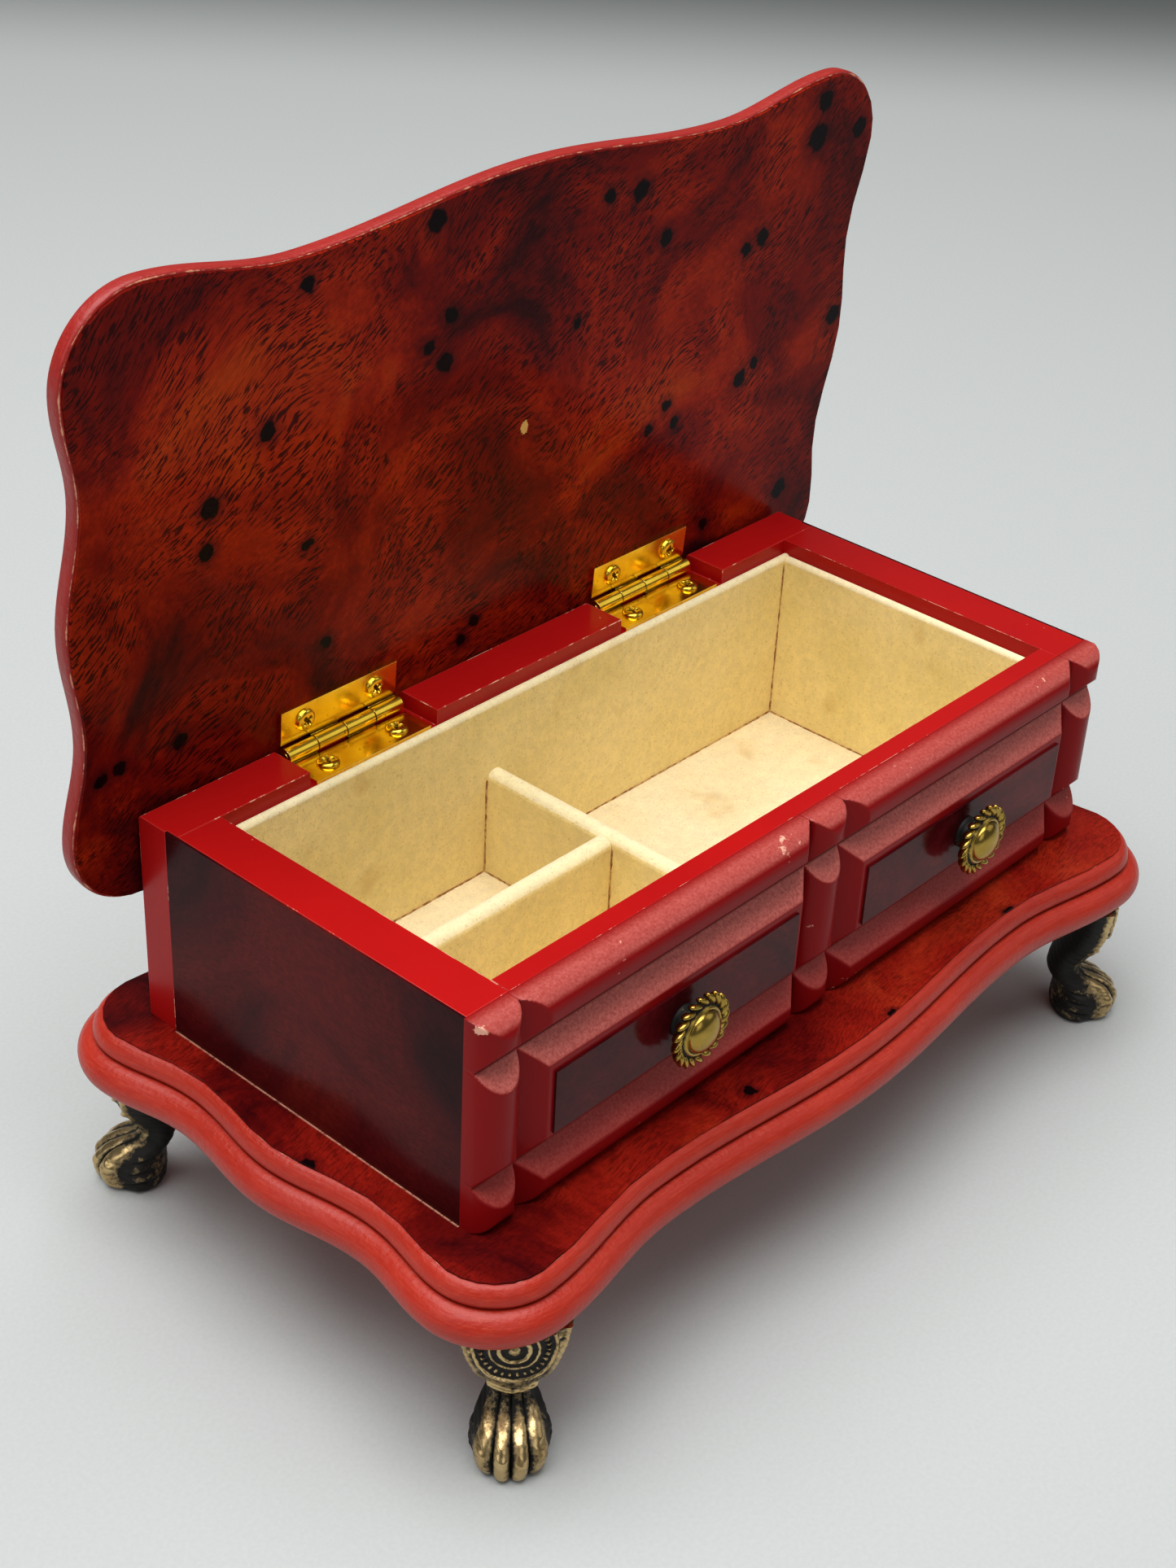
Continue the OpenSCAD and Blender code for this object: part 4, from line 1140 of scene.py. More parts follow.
@dataclass
class Lid:
    """The moulded lid board with a burl veneer on each face, standing open on its hinges."""
    corner_r: float = 20.0
    veneer_t: float = 0.6
    gap: float = 0.3
    thickness: float = 9.0

    def closed_to_open(self) -> Matrix:
        """Turn that takes the closed lid to where it stands, about the hinge pins."""
        pin = hinge_pin()
        closed = frame["record"]["behaviour"]["joints"][0]["range_deg"][0]
        turn = Matrix.Rotation(math.radians(closed), 4, "X")
        return Matrix.Translation(pin) @ turn @ Matrix.Translation(-pin)

    def board(self, rim_z: float) -> bpy.types.Object:
        """The routed board: a flat band with round arrises by the lining, a groove and a quarter round.

        Args:
            rim_z: Height of the case's rim in millimetres.

        Returns:
            The piece.
        """
        _, high = box_mm("plinth_board")
        depth = self.thickness - 2 * self.veneer_t
        profile = [(0.8, 0.0), (0.45, 0.08), (0.2, 0.28), (0.05, 0.6), (0.0, 1.0), (0.0, 1.5), (0.12, 3.1)]
        profile += arc((1.12, 3.1), (1.0, 0.9), 180, 95, 5)[1:]
        profile += [(2.2, 4.05), (3.1, 3.95), (3.1, 4.35), (2.3, 4.45)]
        profile += arc((6.4, 4.4), (4.1, depth - 4.4), 178, 92, 12)[1:] + [(6.35, depth)]
        place = self.closed_to_open() @ Matrix.Translation((0, 0, (rim_z + self.gap + self.veneer_t) * MM))
        finish = MouldingLacquer(name="orange-red lacquer on the lid's edge", body="#A21E17",
                                 streak="#86140E", pale="#B63E32", wear=0.36)
        return MouldedBoard("lid_board", Serpentine(high[0], high[1], self.corner_r), profile, (2.8, 4.1),
                            ((0.45, 0.08), (0.3, 3.7), (6.35, depth)), place).build(finish.material())

    def build(self) -> None:
        """Builds the lid."""
        rim_z = box_mm("side_board_left")[1][2]
        self.board(rim_z)
        back = self.closed_to_open().inverted()
        turn, move = tuple(back.to_euler()), tuple(back.translation)
        # Clusters of eyes, placed to the nearest few millimetres
        eyes = ((104, -66, 2.4), (103, -57, 3.2), (120, -56, 2.4), (26, -59, 1.7), (37, -58, 2.4),
                (48, -44, 2.0), (86, -35, 2.0), (80, -33, 1.7), (-29, -66, 2.4), (-65, -61, 1.8),
                (-23, -43, 1.9), (-29, -37, 1.6), (-24, -32, 2.2), (19, -30, 1.2), (85, 3, 2.2),
                (90, 0, 1.6), (50, 7, 1.5), (56, 2, 1.6), (60, 8, 1.6), (-75, -31, 2.0), (-90, -18, 2.3),
                (-91, -8, 1.8), (-63, 0, 1.5), (-8, 40, 1.6), (-12, 44, 1.7), (-98, 36, 1.9),
                (-119, 37, 1.6), (-114, 36, 1.6), (122, -5, 2.6), (110, 43, 2.6), (-56, 27, 1.5),
                (78, 43, 1.6))
        inside = BurlVeneer("burl veneer inside the lid", turn, move, tuple(Knot(*eye) for eye in eyes),
                            flake=(4.0, -8.0), scratches=1.6, gloss=0.26, mirror=0.03)
        dress("lid_inner_veneer", inside.material())
        eyes = ((-70, -30, 2.4), (-63, -34, 1.8), (20, 25, 2.4), (28, 20, 1.6), (80, -12, 2.2),
                (-20, -50, 1.8), (-90, 40, 2.0), (60, 48, 2.4), (4, -14, 1.6))
        outside = BurlVeneer("burl veneer on the lid", turn, move, tuple(Knot(*eye) for eye in eyes),
                             grain_angle=-25.0, dark="#2A060A", middle="#68120A", light="#942810",
                             glow="#AC4014", scratches=0.5, gloss=0.16)
        dress("lid_outer_veneer", outside.material())


# ---- The case ----

@dataclass
class DrawerFront:
    """The moulded false drawer front: crossing V-grooves between round columns, in one board."""
    groove_depth: float = 4.5
    groove_half_w: float = 5.3
    column_w: float = 11.8
    upper_drop: float = 12.0
    lower_rise: float = 12.0
    round_r: float = 5.0
    softness: float = 0.13
    seam: float = 0.16
    fine: float = 0.26
    coarse: float = 3.0
    row: float = 0.25

    def across(self, x: np.ndarray, half_w: float) -> np.ndarray:
        """Depth of the upright grooves and columns at each x.

        Args:
            x: Places across the front.
            half_w: Half of the front's width.

        Returns:
            Depth behind the front plane.
        """
        half = self.column_w / 2
        radius = (half ** 2 + self.groove_depth ** 2) / (2 * self.groove_depth)
        depth = np.zeros_like(x)
        for centre in (0.0, half_w - half):
            away = np.abs(np.abs(x) - centre)
            column = radius - np.sqrt(np.maximum(radius ** 2 - away ** 2, 0))
            wall = self.groove_depth * (1 - (away - half) / self.groove_half_w)
            depth = np.maximum(depth, np.where(away <= half, column, np.clip(wall, 0, None)))
            if centre == 0.0:
                depth = np.where(np.abs(x) < half, column, depth)
        return depth

    def upright(self, z: np.ndarray, low: float, high: float) -> np.ndarray:
        """Depth of the level grooves and the round edges at each height.

        Args:
            z: Heights.
            low: Bottom of the front.
            high: Top of the front.

        Returns:
            Depth behind the front plane.
        """
        depth = np.zeros_like(z)
        for bottom in (high - self.upper_drop, low + self.lower_rise):
            wall = self.groove_depth * (1 - np.abs(z - bottom) / self.groove_half_w)
            depth = np.maximum(depth, wall)
        past = np.maximum(z - (high - self.round_r), (low + self.round_r) - z)
        edge = self.round_r - np.sqrt(np.maximum(self.round_r ** 2 - np.clip(past, 0, self.round_r) ** 2, 0))
        return np.maximum(depth, edge)

    def eased(self, shape: Callable[[np.ndarray], np.ndarray], at: np.ndarray) -> np.ndarray:
        """A profile with its sharp corners eased over twice the softness."""
        offsets = np.linspace(-self.softness, self.softness, 7)
        return np.mean([shape(at + o) for o in offsets], axis=0)

    def lines(self, half_w: float) -> np.ndarray:
        """Places of the mesh lines across the front: fine by the grooves, coarse on the drawers."""
        reach = self.column_w + self.groove_half_w + 1.5
        inner = self.column_w / 2 + self.groove_half_w + 1.5
        middle = np.arange(0, inner, self.fine)
        drawer = np.linspace(inner, half_w - reach, int((half_w - reach - inner) / self.coarse))
        outer = np.linspace(half_w - reach, half_w, int(reach / self.fine))[1:]
        right = np.concatenate([middle, drawer, outer])
        return np.concatenate([-right[:0:-1], right])

    def build(self, finish: bpy.types.Material) -> bpy.types.Object:
        """Builds the front as one closed board.

        Args:
            finish: Material of the board.

        Returns:
            The piece.
        """
        low, high = box_mm("front_panel")
        x = self.lines(high[0])
        z = np.linspace(low[2], high[2], int((high[2] - low[2]) / self.row))
        across = self.eased(lambda at: self.across(at, high[0]), x)[None, :]
        level = self.eased(lambda at: self.upright(at, low[2], high[2]),
                           np.clip(z, low[2] + 0.02, high[2] - 0.02))
        level = level[:, None]
        blend = np.minimum(self.seam, across + level)
        part = np.maximum(blend - np.abs(across - level), 0) / np.maximum(blend, 1e-6)
        depth = np.maximum(across, level) + part ** 2 * blend / 4
        depth = np.minimum(depth, self.round_r)
        grid_x, grid_z = np.meshgrid(x, z)
        front = np.stack([grid_x, low[1] + depth, grid_z], axis=-1)
        bend = (np.gradient(np.gradient(depth, x, axis=1), x, axis=1)
                + np.gradient(np.gradient(depth, z, axis=0), z, axis=0))
        # The faces that look up get raised fibres and a painted highlight of the light from above, weaker in
        # the lower half and on the top round
        upward_lit = np.clip((np.gradient(depth, z, axis=0) - 0.5) / 0.35, 0, 1)
        routed = 0.85 * upward_lit * np.where(z[:, None] < (low[2] + high[2]) / 2, 0.35, 1.0)
        routed *= np.where(z[:, None] > high[2] - self.round_r, 0.55, 1.0)
        # A chip out of the top left corner
        chip = 7 * np.exp(-(((x[None, :] + high[0]) / 1.7) ** 2 + ((z[:, None] - high[2] + 1.2) / 1.5) ** 2))
        rows, columns = depth.shape
        wall = [(0, c) for c in range(columns)] + [(r, columns - 1) for r in range(1, rows)]
        wall += [(rows - 1, c) for c in range(columns - 2, -1, -1)] + [(r, 0) for r in range(rows - 2, 0, -1)]
        behind = np.array([(x[c], high[1], z[r]) for r, c in wall])
        points = np.concatenate([front.reshape(-1, 3), behind]) * MM
        faces: list[Sequence[int]] = list(grid_faces(rows, columns, False))
        start, count = rows * columns, len(wall)
        for i, (r, c) in enumerate(wall):
            r1, c1 = wall[(i + 1) % count]
            faces.append((r * columns + c, start + i, start + (i + 1) % count, r1 * columns + c1))
        faces.append(tuple(range(start + count - 1, start - 1, -1)))
        pad = np.zeros(count)
        # routed carries the fibres and painted highlight of the upward faces; hollow carries painted shade in
        # the concave groove bottoms
        values = {"routed": np.concatenate([routed.ravel(), pad]),
                  "arris": np.concatenate([(np.clip(bend * 0.45, 0, 1) + chip).ravel(), pad]),
                  "hollow": np.concatenate([np.clip(-bend * 0.25 - 0.15, 0, 0.9).ravel(), pad])}
        piece = mesh_object("front_panel_moulded", points, faces, values)
        piece.data.set_sharp_from_angle(angle=math.radians(50))
        outward(piece)
        piece.data.materials.append(finish)
        settle(piece, "front_panel")
        return piece


def outward(piece: bpy.types.Object) -> None:
    """Recalculates a closed mesh's faces so that they point outwards."""
    work = bmesh.new()
    work.from_mesh(piece.data)
    bmesh.ops.recalc_face_normals(work, faces=work.faces)
    work.to_mesh(piece.data)
    work.free()


@dataclass
class Case:
    """The lacquered case: boards, moulded front and the veneers on its outside."""
    arris_mm: float = 0.45

    def build(self) -> None:
        """Builds the case."""
        lacquer = RedLacquer().material()
        edge = RedLacquer(name="red nitro lacquer rubbed at the arrises", wear=1.0, body="#C2302A",
                          shade="#A41A18").material()
        for node in ("side_board_left", "side_board_right", "rear_board", "front_inner_board"):
            softened(node, self.arris_mm, lacquer, edge)
        # Painted shade: the front takes a darker copy of the rims' red on its upright faces, and a paler pink
        # as painted highlight on its upward faces
        DrawerFront().build(RedLacquer(name="red nitro lacquer on the routed front", body="#8C0B0E",
                                       shade="#7A080B", routed="#DC7468", mirror=0.08).material())
        for node, turn in (("side_veneer_left", (0.0, math.radians(-90), 0.0)),
                           ("side_veneer_right", (0.0, math.radians(90), 0.0))):
            side = BurlVeneer(f"dark burl veneer, {node}", turn, (0.03, 0.02, 0.0), dark="#200609",
                              middle="#360A0D", light="#4A0E10", glow="#5C1612", grain_angle=85.0,
                              balance=0.02, scratches=0.25, mirror=0.05, pore_depth=0.25)
            dress(node, side.material())
        for node in ("drawer_veneer_left", "drawer_veneer_right"):
            drawer = BurlVeneer(f"dark burl veneer, {node}", (math.radians(90), 0.0, 0.0), (0.05, 0.0, 0.0),
                                dark="#38080C", middle="#521014", light="#66161A", glow="#781C1A",
                                grain_angle=5.0, balance=-0.04, scratches=0.0, gloss=0.13, mirror=0.08,
                                pore_depth=0.2)
            dress(node, drawer.material())


@dataclass
class Lining:
    """The flock-covered cards in the case, and the glue that squeezed out where they meet."""
    round_mm: float = 0.5
    card_round_mm: float = 0.25
    rim_h: float = 1.4
    bead_r: float = 0.32

    def build(self) -> None:
        """Builds the lining."""
        wall = FlockedCard("cream flock on the walls")
        rim = FlockedCard("pale flock on the rims", body="#F8E9BC", shade="#F0DCA0", fibre="#CCAC68",
                          clumping=0.3)
        floor = FlockedCard("pale flock on the floor", body="#F6E6BE", shade="#EED49C", fibre="#CBA260",
                            clumping=0.45)
        wall_finish, rim_finish, floor_finish = wall.material(), rim.material(), floor.material()
        for node in ("liner_rear", "liner_front", "liner_left", "liner_right", "divider_long",
                     "divider_short"):
            self.card(node, wall_finish, rim_finish)
        softened("liner_floor", self.round_mm, floor_finish, floor_finish)
        self.glue()

    def card(self, node: str, wall: bpy.types.Material, rim: bpy.types.Material) -> None:
        """Makes one card paler along its round top.

        Args:
            node: Name of the card.
            wall: Finish of its faces.
            rim: Finish of its top.
        """
        piece = softened(node, self.card_round_mm, wall, rim)
        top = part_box(node)[1][2] - self.rim_h * MM
        for face in piece.data.polygons:
            face.material_index = 1 if face.center.z > top else 0

    def glue(self) -> None:
        """Runs a bead of glue down each corner and along the floor's edges."""
        floor_top = box_mm("liner_floor")[1][2]
        wall_top = box_mm("liner_rear")[1][2] - 2.0
        low_x, high_x = box_mm("liner_left")[1][0], box_mm("liner_right")[0][0]
        low_y, high_y = box_mm("liner_front")[1][1], box_mm("liner_rear")[0][1]
        long_low, long_high = box_mm("divider_long")
        short_low, short_high = box_mm("divider_short")
        long_x, short_y = (long_low[0], long_high[0]), (short_low[1], short_high[1])
        long_top, short_top = long_high[2] - 2.5, short_high[2] - 2.5
        corners = [(x, y, wall_top) for y in (low_y, high_y) for x in (low_x, high_x)]
        corners += [(x, y, long_top) for x in long_x for y in (low_y, high_y)]
        corners += [(x, y, short_top) for x in (low_x, short_high[0]) for y in short_y]
        lines = [((x, y, floor_top), (x, y, top)) for x, y, top in corners]
        level = [((low_x, high_y), (high_x, high_y)), ((low_x, low_y), (high_x, low_y)),
                 ((low_x, low_y), (low_x, high_y)), ((high_x, low_y), (high_x, high_y))]
        level += [((x, low_y), (x, high_y)) for x in long_x]
        level += [((low_x, y), (long_low[0], y)) for y in short_y]
        lines += [((*a, floor_top), (*b, floor_top)) for a, b in level]
        places = [Vector(end) * MM for line in lines for end in line]
        edges = [(2 * i, 2 * i + 1) for i in range(len(lines))]
        base = points_object("glue_lines", places, edges)
        piece = run_tree(glue_tree(), base, {
            "Radius": self.bead_r * MM, "Unevenness": 0.7 * MM, "Step": 0.8 * MM,
            "Finish": HideGlue().material()}, "glue_beads")
        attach(piece, "case")
        log.info("glue_beads runs along %d edges", len(edges))


# ---- Hardware ----

@dataclass
class PanScrew:
    """A pan-head wood screw: domed head, cross recess and a plain shank."""
    head_r: float = 2.75
    head_h: float = 1.15
    shank_r: float = 1.1
    shank_l: float = 6.0
    cross_l: float = 1.75
    cross_w: float = 0.36
    cross_depth: float = 0.7
    rings: int = 26
    segments: int = 72

    def dome(self, radius: np.ndarray) -> np.ndarray:
        """Height of the head at each radius."""
        part = np.clip(radius / self.head_r, 0, 1)
        return self.head_h * np.clip(1 - part ** 4.2, 0, 1) ** 0.42

    def build(self, name: str) -> bpy.types.Object:
        """Builds the screw standing on the origin with its head upwards.

        Args:
            name: Name of the object.

        Returns:
            The screw, to be set out by a geometry tree.
        """
        radius = np.linspace(0.04, 1.0, self.rings) ** 0.85 * self.head_r
        angle = np.arange(self.segments) * 2 * math.pi / self.segments
        r, a = np.meshgrid(radius, angle, indexing="ij")
        x, y = r * np.cos(a), r * np.sin(a)
        z = self.dome(r)
        # Distance from the nearer arm of the cross
        arm = np.minimum(np.hypot(np.clip(np.abs(x) - self.cross_l * 0.6, 0, None), y),
                         np.hypot(x, np.clip(np.abs(y) - self.cross_l * 0.6, 0, None)))
        # The cross recess, cut into the head and painted dark as shade
        grime_and_shade = np.clip((self.cross_w * 1.6 - arm) / (self.cross_w * 0.9), 0, 1)
        z = z - self.cross_depth * grime_and_shade
        rows = [np.stack([x, y, z], -1)[i] for i in range(self.rings)]
        for ring_r, ring_z in ((self.head_r, 0.0), (self.shank_r, 0.0), (self.shank_r, -self.shank_l + 1.5),
                               (0.05, -self.shank_l)):
            rows.append(np.stack([ring_r * np.cos(angle), ring_r * np.sin(angle),
                                  np.full_like(angle, ring_z)], -1))
        points = np.concatenate(rows) * MM
        faces: list[Sequence[int]] = list(grid_faces(len(rows), self.segments, True))
        faces.append(tuple(range(self.segments - 1, -1, -1)))
        last = (len(rows) - 1) * self.segments
        faces.append(tuple(range(last, last + self.segments)))
        values = {"grime_and_shade": np.concatenate([0.95 * grime_and_shade.ravel(), np.zeros(4 * self.segments)])}
        screw = mesh_object(name, points, faces, values)
        outward(screw)
        screw.data.set_sharp_from_angle(angle=math.radians(42))
        return screw


@dataclass
class Hardware:
    """The two butt hinges with their screws, and the screws of the feet."""
    hinge_x: float = 52.0
    spacing: float = 21.4
    reach: float = 6.8
    leaf_t: float = 1.0
    gap: float = 0.3

    def build(self) -> None:
        """Builds the hardware."""
        pin = tuple(hinge_pin().yz / MM)
        brass = PolishedBrass(pin=pin).material()
        edge = PolishedBrass(name="brass plate worn at the edges", body="#FFE070", shade="#F4C040",
                             pin=pin).material()
        for side in ("left", "right"):
            softened(f"hinge_leaf_case_{side}", 0.16, brass, edge)
            softened(f"hinge_leaf_lid_{side}", 0.16, brass, edge)
            softened(f"hinge_pin_{side}", 0.2, edge, edge)
        dress("knob_screws", brass)
        dress("plinth_screws", brass)
        self.hinge_screws(brass)
        self.foot_screws(brass)

    def hinge_screws(self, brass: bpy.types.Material) -> None:
        """Sets the screws of the case leaves and of the lid leaves."""
        pin = hinge_pin() / MM
        spots = [s * self.hinge_x + t * self.spacing / 2 for s in (-1, 1) for t in (-1, 1)]
        leaf_top = box_mm("hinge_screws_case")[1][2] - PanScrew().head_h
        case = [Vector((x, pin.y - self.reach, leaf_top)) * MM for x in spots]
        tree = screw_tree()
        screw = PanScrew(shank_l=14.0).build("case_screw")
        piece = run_tree(tree, points_object("case_screw_places", case), {
            "Screw": screw, "Facing": (0.0, 0.0, 1.0), "Seed": 4, "Finish": brass}, "hinge_screws_case_fine")
        bpy.data.objects.remove(screw)
        settle(piece, "hinge_screws_case")
        opened = Lid().closed_to_open()
        rim_z = box_mm("side_board_left")[1][2]
        lid = [opened @ (Vector((x, pin.y - self.reach, rim_z + self.gap - self.leaf_t)) * MM) for x in spots]
        facing = opened.to_3x3() @ Vector((0, 0, -1))
        screw = PanScrew(shank_l=6.0).build("lid_screw")
        piece = run_tree(tree, points_object("lid_screw_places", lid), {
            "Screw": screw, "Facing": tuple(facing), "Seed": 11, "Finish": brass}, "hinge_screws_lid_fine")
        bpy.data.objects.remove(screw)
        settle(piece, "hinge_screws_lid")

    def foot_screws(self, brass: bpy.types.Material) -> None:
        """Sets the screws that hold the feet's plates, heads down."""
        under = box_mm("plinth_board")[0][2] - PawFoot.plate_t
        places = [PawFoot.place(sx, sy) @ (Vector((PawFoot.screw_x, side * PawFoot.screw_y, under)) * MM)
                  for sx in (-1, 1) for sy in (-1, 1) for side in (-1, 1)]
        screw = PanScrew(head_r=2.4, head_h=1.2, shank_r=1.2, shank_l=10.0, cross_l=1.5).build("foot_screw")
        piece = run_tree(screw_tree(), points_object("foot_screw_places", places), {
            "Screw": screw, "Facing": (0.0, 0.0, -1.0), "Seed": 2, "Finish": brass}, "foot_screws_fine")
        bpy.data.objects.remove(screw)
        settle(piece, "foot_screws")


@dataclass
class Knob:
    """A turned and cast drawer knob: stem, dish, rope-twist rim and a smooth dome."""
    node: str
    rope_r: float = 7.5
    lobes: int = 20
    lean: float = 0.35
    twist: float = 0.85
    lobe_size: tuple[float, float, float] = (2.0, 0.7, 1.3)
    rope_z: float = 4.95
    segments: int = 96

    def build(self, finish: bpy.types.Material) -> bpy.types.Object:
        """Builds the knob.

        Args:
            finish: Material of the knob.

        Returns:
            The piece.
        """
        low, high = box_mm(self.node)
        out, radius = high[1] - low[1], (high[0] - low[0]) / 2
        # Radius and height of the turned body: base, stem, dish, rim under the rope, groove and inner ring
        section = [(0.0, 0.0), (3.9, 0.0), (4.0, 0.35), (3.3, 0.9), (2.9, 1.6), (2.9, 3.0), (3.6, 3.5),
                   (radius - 2.2, 3.9), (radius - 1.3, 4.2), (radius - 0.9, 4.6), (radius - 1.3, 5.0),
                   (radius - 2.3, 5.3), (radius - 2.6, 5.1), (radius - 3.0, 5.4), (radius - 3.2, 6.1),
                   (radius - 3.6, 6.15), (radius - 3.9, 5.8)]
        dome = [(5.05 * math.cos(a), 5.8 + (out - 5.8) * math.sin(a)) for a in np.linspace(0.0, 1.54, 12)]
        section += dome + [(0.02, out)]
        angle = np.arange(self.segments) * 2 * math.pi / self.segments
        rows = [np.stack([r * np.cos(angle), r * np.sin(angle), np.full_like(angle, h)], -1)
                for r, h in section[1:]]
        points = np.concatenate(rows) * MM
        faces: list[Sequence[int]] = list(grid_faces(len(rows), self.segments, True))
        faces.append(tuple(range(self.segments)))
        last = (len(rows) - 1) * self.segments
        faces.append(tuple(range(last, last + self.segments)))
        depth = {radius - 0.9: 1.0, radius - 1.3: 1.0, radius - 2.3: 1.0, radius - 2.6: 1.0,
                 radius - 3.0: 0.6, radius - 3.9: 0.9}
        hollow = np.array([depth.get(r, 0.75 if h < 4.2 else 0.0) for r, h in section[1:]])
        body = mesh_object(f"{self.node}_body", points, faces, {"patina_and_shade": np.repeat(hollow, self.segments)})
        outward(body)
        body.data.materials.append(finish)
        rope = run_tree(rope_tree(), points_object("rope_start", [Vector((0, 0, 0))]), {
            "Radius": self.rope_r * MM, "Lobes": self.lobes, "Lobe size": tuple(v * MM for v in self.lobe_size),
            "Lean": self.lean, "Twist": self.twist, "Finish": finish}, "rope")
        shade = rope.data.attributes.new("patina_and_shade", "FLOAT", "POINT")
        heights = [0.0 if math.hypot(v.co.x, v.co.y) > (self.rope_r + 0.2) * MM or v.co.z > 0.5 * MM else 0.75
                   for v in rope.data.vertices]
        shade.data.foreach_set("value", heights)
        rope.data.transform(Matrix.Translation((0, 0, self.rope_z * MM)))
        piece = joined(f"{self.node}_cast", [body, rope])
        centre = (low + high) / 2
        place = Matrix.Translation((centre[0] * MM, high[1] * MM, centre[2] * MM))
        piece.data.transform(place @ Matrix.Rotation(math.radians(90), 4, "X"))
        settle(piece, self.node)
        return piece


# ---- Feet ----

def smooth_curve(stations: np.ndarray, values: np.ndarray, at: np.ndarray) -> np.ndarray:
    """Smooth curve through values at uneven stations (cubic, with slopes from the neighbours).

    Args:
        stations: Rising places of the values.
        values: Value at each station.
        at: Places to read.

    Returns:
        The curve's value at each place.
    """
    slope = np.gradient(values, stations)
    i = np.clip(np.searchsorted(stations, at) - 1, 0, len(stations) - 2)
    width = stations[i + 1] - stations[i]
    t = (at - stations[i]) / width
    return ((2 * t ** 3 - 3 * t ** 2 + 1) * values[i] + (t ** 3 - 2 * t ** 2 + t) * width * slope[i]
            + (3 * t ** 2 - 2 * t ** 3) * values[i + 1] + (t ** 3 - t ** 2) * width * slope[i + 1])


@dataclass
class PawFoot:
    """A cast paw foot: knee with chased scrolls and beads, drawn-in ankle, four toes and a mounting plate.

    It is modelled upright with its toes along +X and its axis on the origin, in millimetres.
    """
    node: str
    sx: int
    sy: int
    inset_side: ClassVar[float] = 18.6
    inset_front: ClassVar[float] = 12.4
    plate_t: ClassVar[float] = 1.6
    screw_x: ClassVar[float] = -9.0
    screw_y: ClassVar[float] = 5.2
    plate_x: ClassVar[Point2] = (-14.0, 3.0)
    plate_half_y: ClassVar[float] = 8.5
    scroll_z: ClassVar[float] = 34.0
    side_scroll_s: ClassVar[float] = 10.6
    collar_z: ClassVar[float] = 19.4
    # Height, front, back and half width of the casting
    stations: ClassVar[tuple[tuple[float, float, float, float], ...]] = (
        (0.0, 10.4, -3.2, 7.2), (0.8, 11.9, -3.8, 8.1), (2.4, 12.8, -4.2, 8.8), (5.0, 12.9, -4.2, 9.0),
        (7.5, 12.1, -4.1, 8.7), (9.8, 10.0, -4.4, 7.9), (11.4, 7.0, -5.4, 7.0), (12.8, 3.6, -6.4, 6.0),
        (14.4, 1.9, -6.8, 5.1), (16.5, 2.3, -6.6, 4.9), (20.0, 4.4, -5.7, 5.9), (24.0, 6.1, -4.5, 8.0),
        (28.0, 6.9, -3.8, 9.6), (32.0, 7.1, -3.4, 10.8), (38.0, 7.0, -3.0, 12.0))
    toe_depth: ClassVar[tuple[tuple[float, float], ...]] = (
        (0.0, 1.1), (1.5, 1.9), (5.0, 2.2), (8.0, 1.9), (11.0, 1.4), (14.0, 0.8), (17.0, 0.5), (19.5, 0.0))
    front_points: int = 140
    back_points: int = 40
    row_step: float = 0.3

    @classmethod
    def place(cls, sx: int, sy: int) -> Matrix:
        """Place of a foot under one corner of the plinth, toes outwards.

        Args:
            sx: -1 for the left feet and 1 for the right ones.
            sy: -1 for the front feet and 1 for the rear ones.

        Returns:
            The transform from the foot's own frame, in metres.
        """
        high = box_mm("plinth_board")[1]
        at = Vector((sx * (high[0] - cls.inset_side), sy * (high[1] - cls.inset_front), 0.0)) * MM
        return Matrix.Translation(at) @ Matrix.Rotation(math.atan2(sy, sx), 4, "Z")

    @staticmethod
    def ridge(distance: np.ndarray, width: float, height: float) -> np.ndarray:
        """A round ridge along the line where the distance is 0."""
        return height * np.exp(-(distance / width) ** 2)

    def chasing(self, s: np.ndarray, z: np.ndarray, u: np.ndarray) -> tuple[np.ndarray, np.ndarray]:
        """Relief of the knee: three scrolls, a ring of beads, side borders and a collar.

        Args:
            s: Distance round the knee from its front.
            z: Height.
            u: Place across the leg, from -1 to 1.

        Returns:
            Relief in millimetres, and 1 where the chased ground lies.
        """
        r, turn = np.hypot(s, z - self.scroll_z), np.arctan2(z - self.scroll_z, s)
        relief = self.ridge(r, 1.3, 0.7) + self.ridge(r - 3.0, 0.5, 0.75) + self.ridge(r - 4.9, 0.42, 0.55)
        bead = np.clip(np.cos(turn * 30), 0, 1) ** 0.5
        relief += self.ridge(r - 6.9, 0.62, 0.8) * bead
        relief += self.ridge(r - 8.9, 0.5, 0.85)
        side = np.hypot(np.abs(s) - self.side_scroll_s, z - self.scroll_z)
        outside = np.clip((r - 9.4) / 0.6, 0, 1)
        relief += outside * (self.ridge(side, 0.9, 0.6) + self.ridge(side - 2.5, 0.45, 0.6))
        border = self.ridge(np.abs(u) - 0.93, 0.05, 0.7) * np.clip((z - 20.5) / 1.5, 0, 1)
        collar_z = self.collar_z + 0.5 * np.abs(s)
        collar = self.ridge(z - collar_z, 0.75, 0.95) * np.clip(5.8 - np.abs(s), 0, 1)
        drop = self.ridge(np.hypot(s / 1.4, z - 18.6), 1.1, 0.7)
        ground = np.clip((z - collar_z - 0.9) / 0.8, 0, 1) * np.clip(9.9 - r, 0, 1)
        return np.maximum(np.maximum(relief * np.clip((z - collar_z) / 0.8, 0, 1), border),
                          np.maximum(collar, drop)), ground

